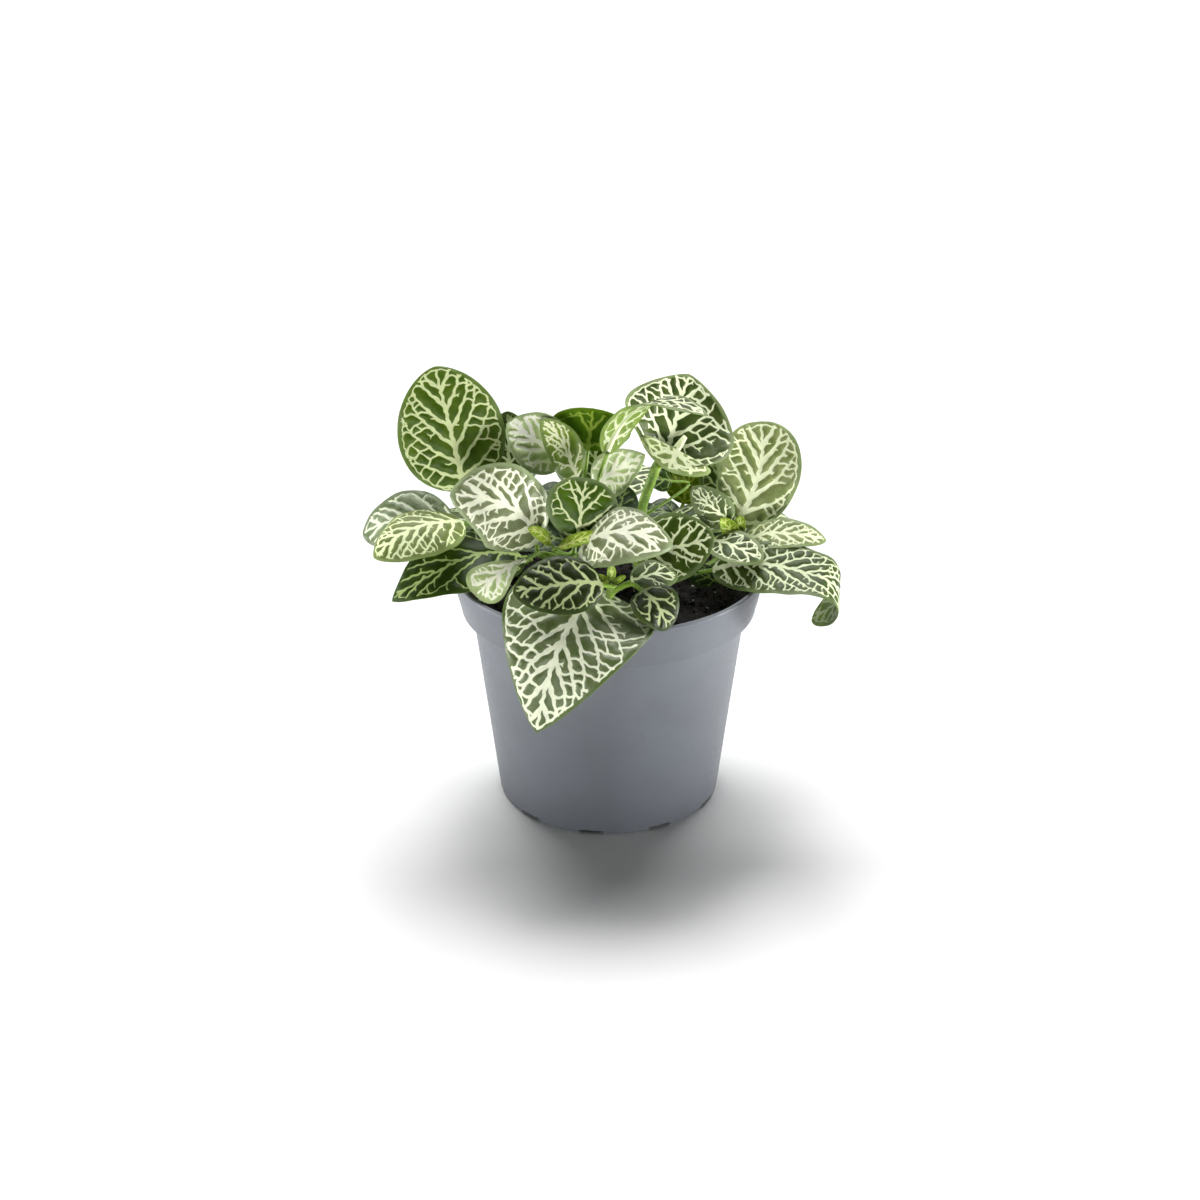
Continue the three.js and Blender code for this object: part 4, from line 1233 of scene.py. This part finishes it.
def lump_patch(centre, size, rng, material):
    shape = bmesh.new()
    bmesh.ops.create_icosphere(shape, subdivisions=1, radius=1)
    points = np.array([vertex.co[:] for vertex in shape.verts])
    faces = np.array([[vertex.index for vertex in face.verts] for face in shape.faces])
    shape.free()
    points = points * (1 + 0.22 * rng.standard_normal((len(points), 1)))
    points = points * size * np.array([1, rng.uniform(0.6, 1), rng.uniform(0.5, 0.9)])
    turn = rng.random() * math.pi
    spin = np.array([[math.cos(turn), math.sin(turn), 0], [-math.sin(turn), math.cos(turn), 0], [0, 0, 1]])
    return Patch(points @ spin + centre, faces, material)


def add_soil_litter(rim_radius):
    """Crumbs, pale root hairs and perlite on the soil."""
    rng = np.random.default_rng(LITTER_SEED)
    patches = []
    for count, lift, largest, material in ((CRUMBS, 0.1, 1.15, 0), (PERLITES, 0.35, 1.0, 1)):
        for _ in range(count):
            x, y, z = scatter(rng, rim_radius)
            size = rng.uniform(0.35, largest)
            patches.append(lump_patch(np.array([x, y, z + lift]), size, rng, material))
    for _ in range(FIBRES):
        x, y, _ = scatter(rng, rim_radius)
        turn = rng.random() * 2 * math.pi
        reach = rng.uniform(2, 7)
        points = []
        for step in np.linspace(-0.5, 0.5, 6):
            sway = 0.9 * math.sin(step * 5 + turn)
            place = np.array([x + math.cos(turn) * reach * step - math.sin(turn) * sway,
                              y + math.sin(turn) * reach * step + math.cos(turn) * sway, 0])
            place[:2] *= min(1, rim_radius * SCATTER_SHARE / max(np.linalg.norm(place[:2]), 1))
            place[2] = soil_height(place[0], place[1], rim_radius) + 0.25 + 0.5 * math.cos(step * 3)
            points.append(place)
        fibre, faces = tube(points, [FIBRE_RADIUS] * 6, 4)
        patches.append(Patch(fibre, faces, 2 if rng.random() < 0.55 else 0))
    litter = mesh_object("soil_crumbs", patches, [
        soil_material("crumb", srgb(12, 10, 9), srgb(38, 31, 26)),
        soil_material("perlite", srgb(190, 188, 180), srgb(226, 224, 218)),
        soil_material("root", srgb(58, 46, 35), srgb(98, 82, 62))])
    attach(litter, "root")


# Stage, light and camera

def add_floor():
    mesh = bpy.data.meshes.new("floor")
    corners = [(x * FLOOR_REACH, y * FLOOR_REACH, 0) for x, y in ((-1, -1), (1, -1), (1, 1), (-1, 1))]
    mesh.from_pydata(corners, [], [(0, 1, 2, 3)])
    mesh.materials.append(floor_material())
    floor = link_object("floor", mesh)


def add_spot(name, place, aim, power, cone, radius):
    """A soft lamp whose narrow cone lights the plant and leaves the floor's shadow alone."""
    light = bpy.data.lights.new(name, "SPOT")
    light.energy = power
    light.spot_size = math.radians(cone)
    light.spot_blend = SPOT_BLEND
    light.shadow_soft_size = radius
    spot = link_object(name, light)
    spot.location = place
    spot.rotation_euler = facing(Vector(aim) - Vector(place))


def facing(way):
    """The rotation of a lamp that shines along a way."""
    return way.to_track_quat("-Z", "Y").to_euler()


def add_lights():
    scene = bpy.context.scene
    world = bpy.data.worlds.new("studio")
    world.use_nodes = True
    background = world.node_tree.nodes["Background"].inputs
    background["Color"].default_value = (1, 1, 1, 1)
    background["Strength"].default_value = WORLD_LIGHT
    scene.world = world
    for name, power, spread, place in SUNS:
        light = bpy.data.lights.new(name, "SUN")
        light.energy = power
        light.angle = math.radians(spread)
        link_object(name, light).rotation_euler = facing(-Vector(place))
    for spot in SPOTS:
        add_spot(*spot)
    scene.view_settings.view_transform = "Standard"
    scene.view_settings.exposure = EXPOSURE


def add_camera():
    data = bpy.data.cameras.new("camera")
    data.lens = CAMERA_LENS
    data.sensor_width = 36
    data.shift_x, data.shift_y = CAMERA_SHIFT
    camera = link_object("camera", data)
    down = math.radians(CAMERA_DOWN)
    camera.location = (0, -CAMERA_DISTANCE * math.cos(down),
                       CAMERA_TARGET_HEIGHT + CAMERA_DISTANCE * math.sin(down))
    camera.rotation_euler = (math.pi / 2 - down, 0, 0)
    bpy.context.scene.camera = camera


add_camera()
add_lights()
add_floor()
add_pot()
add_soil()
names = list(LOOKS) + ["stem", "hair"]
leaf_materials = [leaf_material(name, LOOKS[name]) for name in LOOKS] + [stem_material(), hair_material()]
material_numbers = {name: number for number, name in enumerate(names)}
for seed, (shoot_name, shoot) in enumerate(LEAFY_STEMS.items(), FIRST_SHOOT_SEED):
    add_shoot(shoot_name, shoot, seed, leaf_materials, material_numbers)
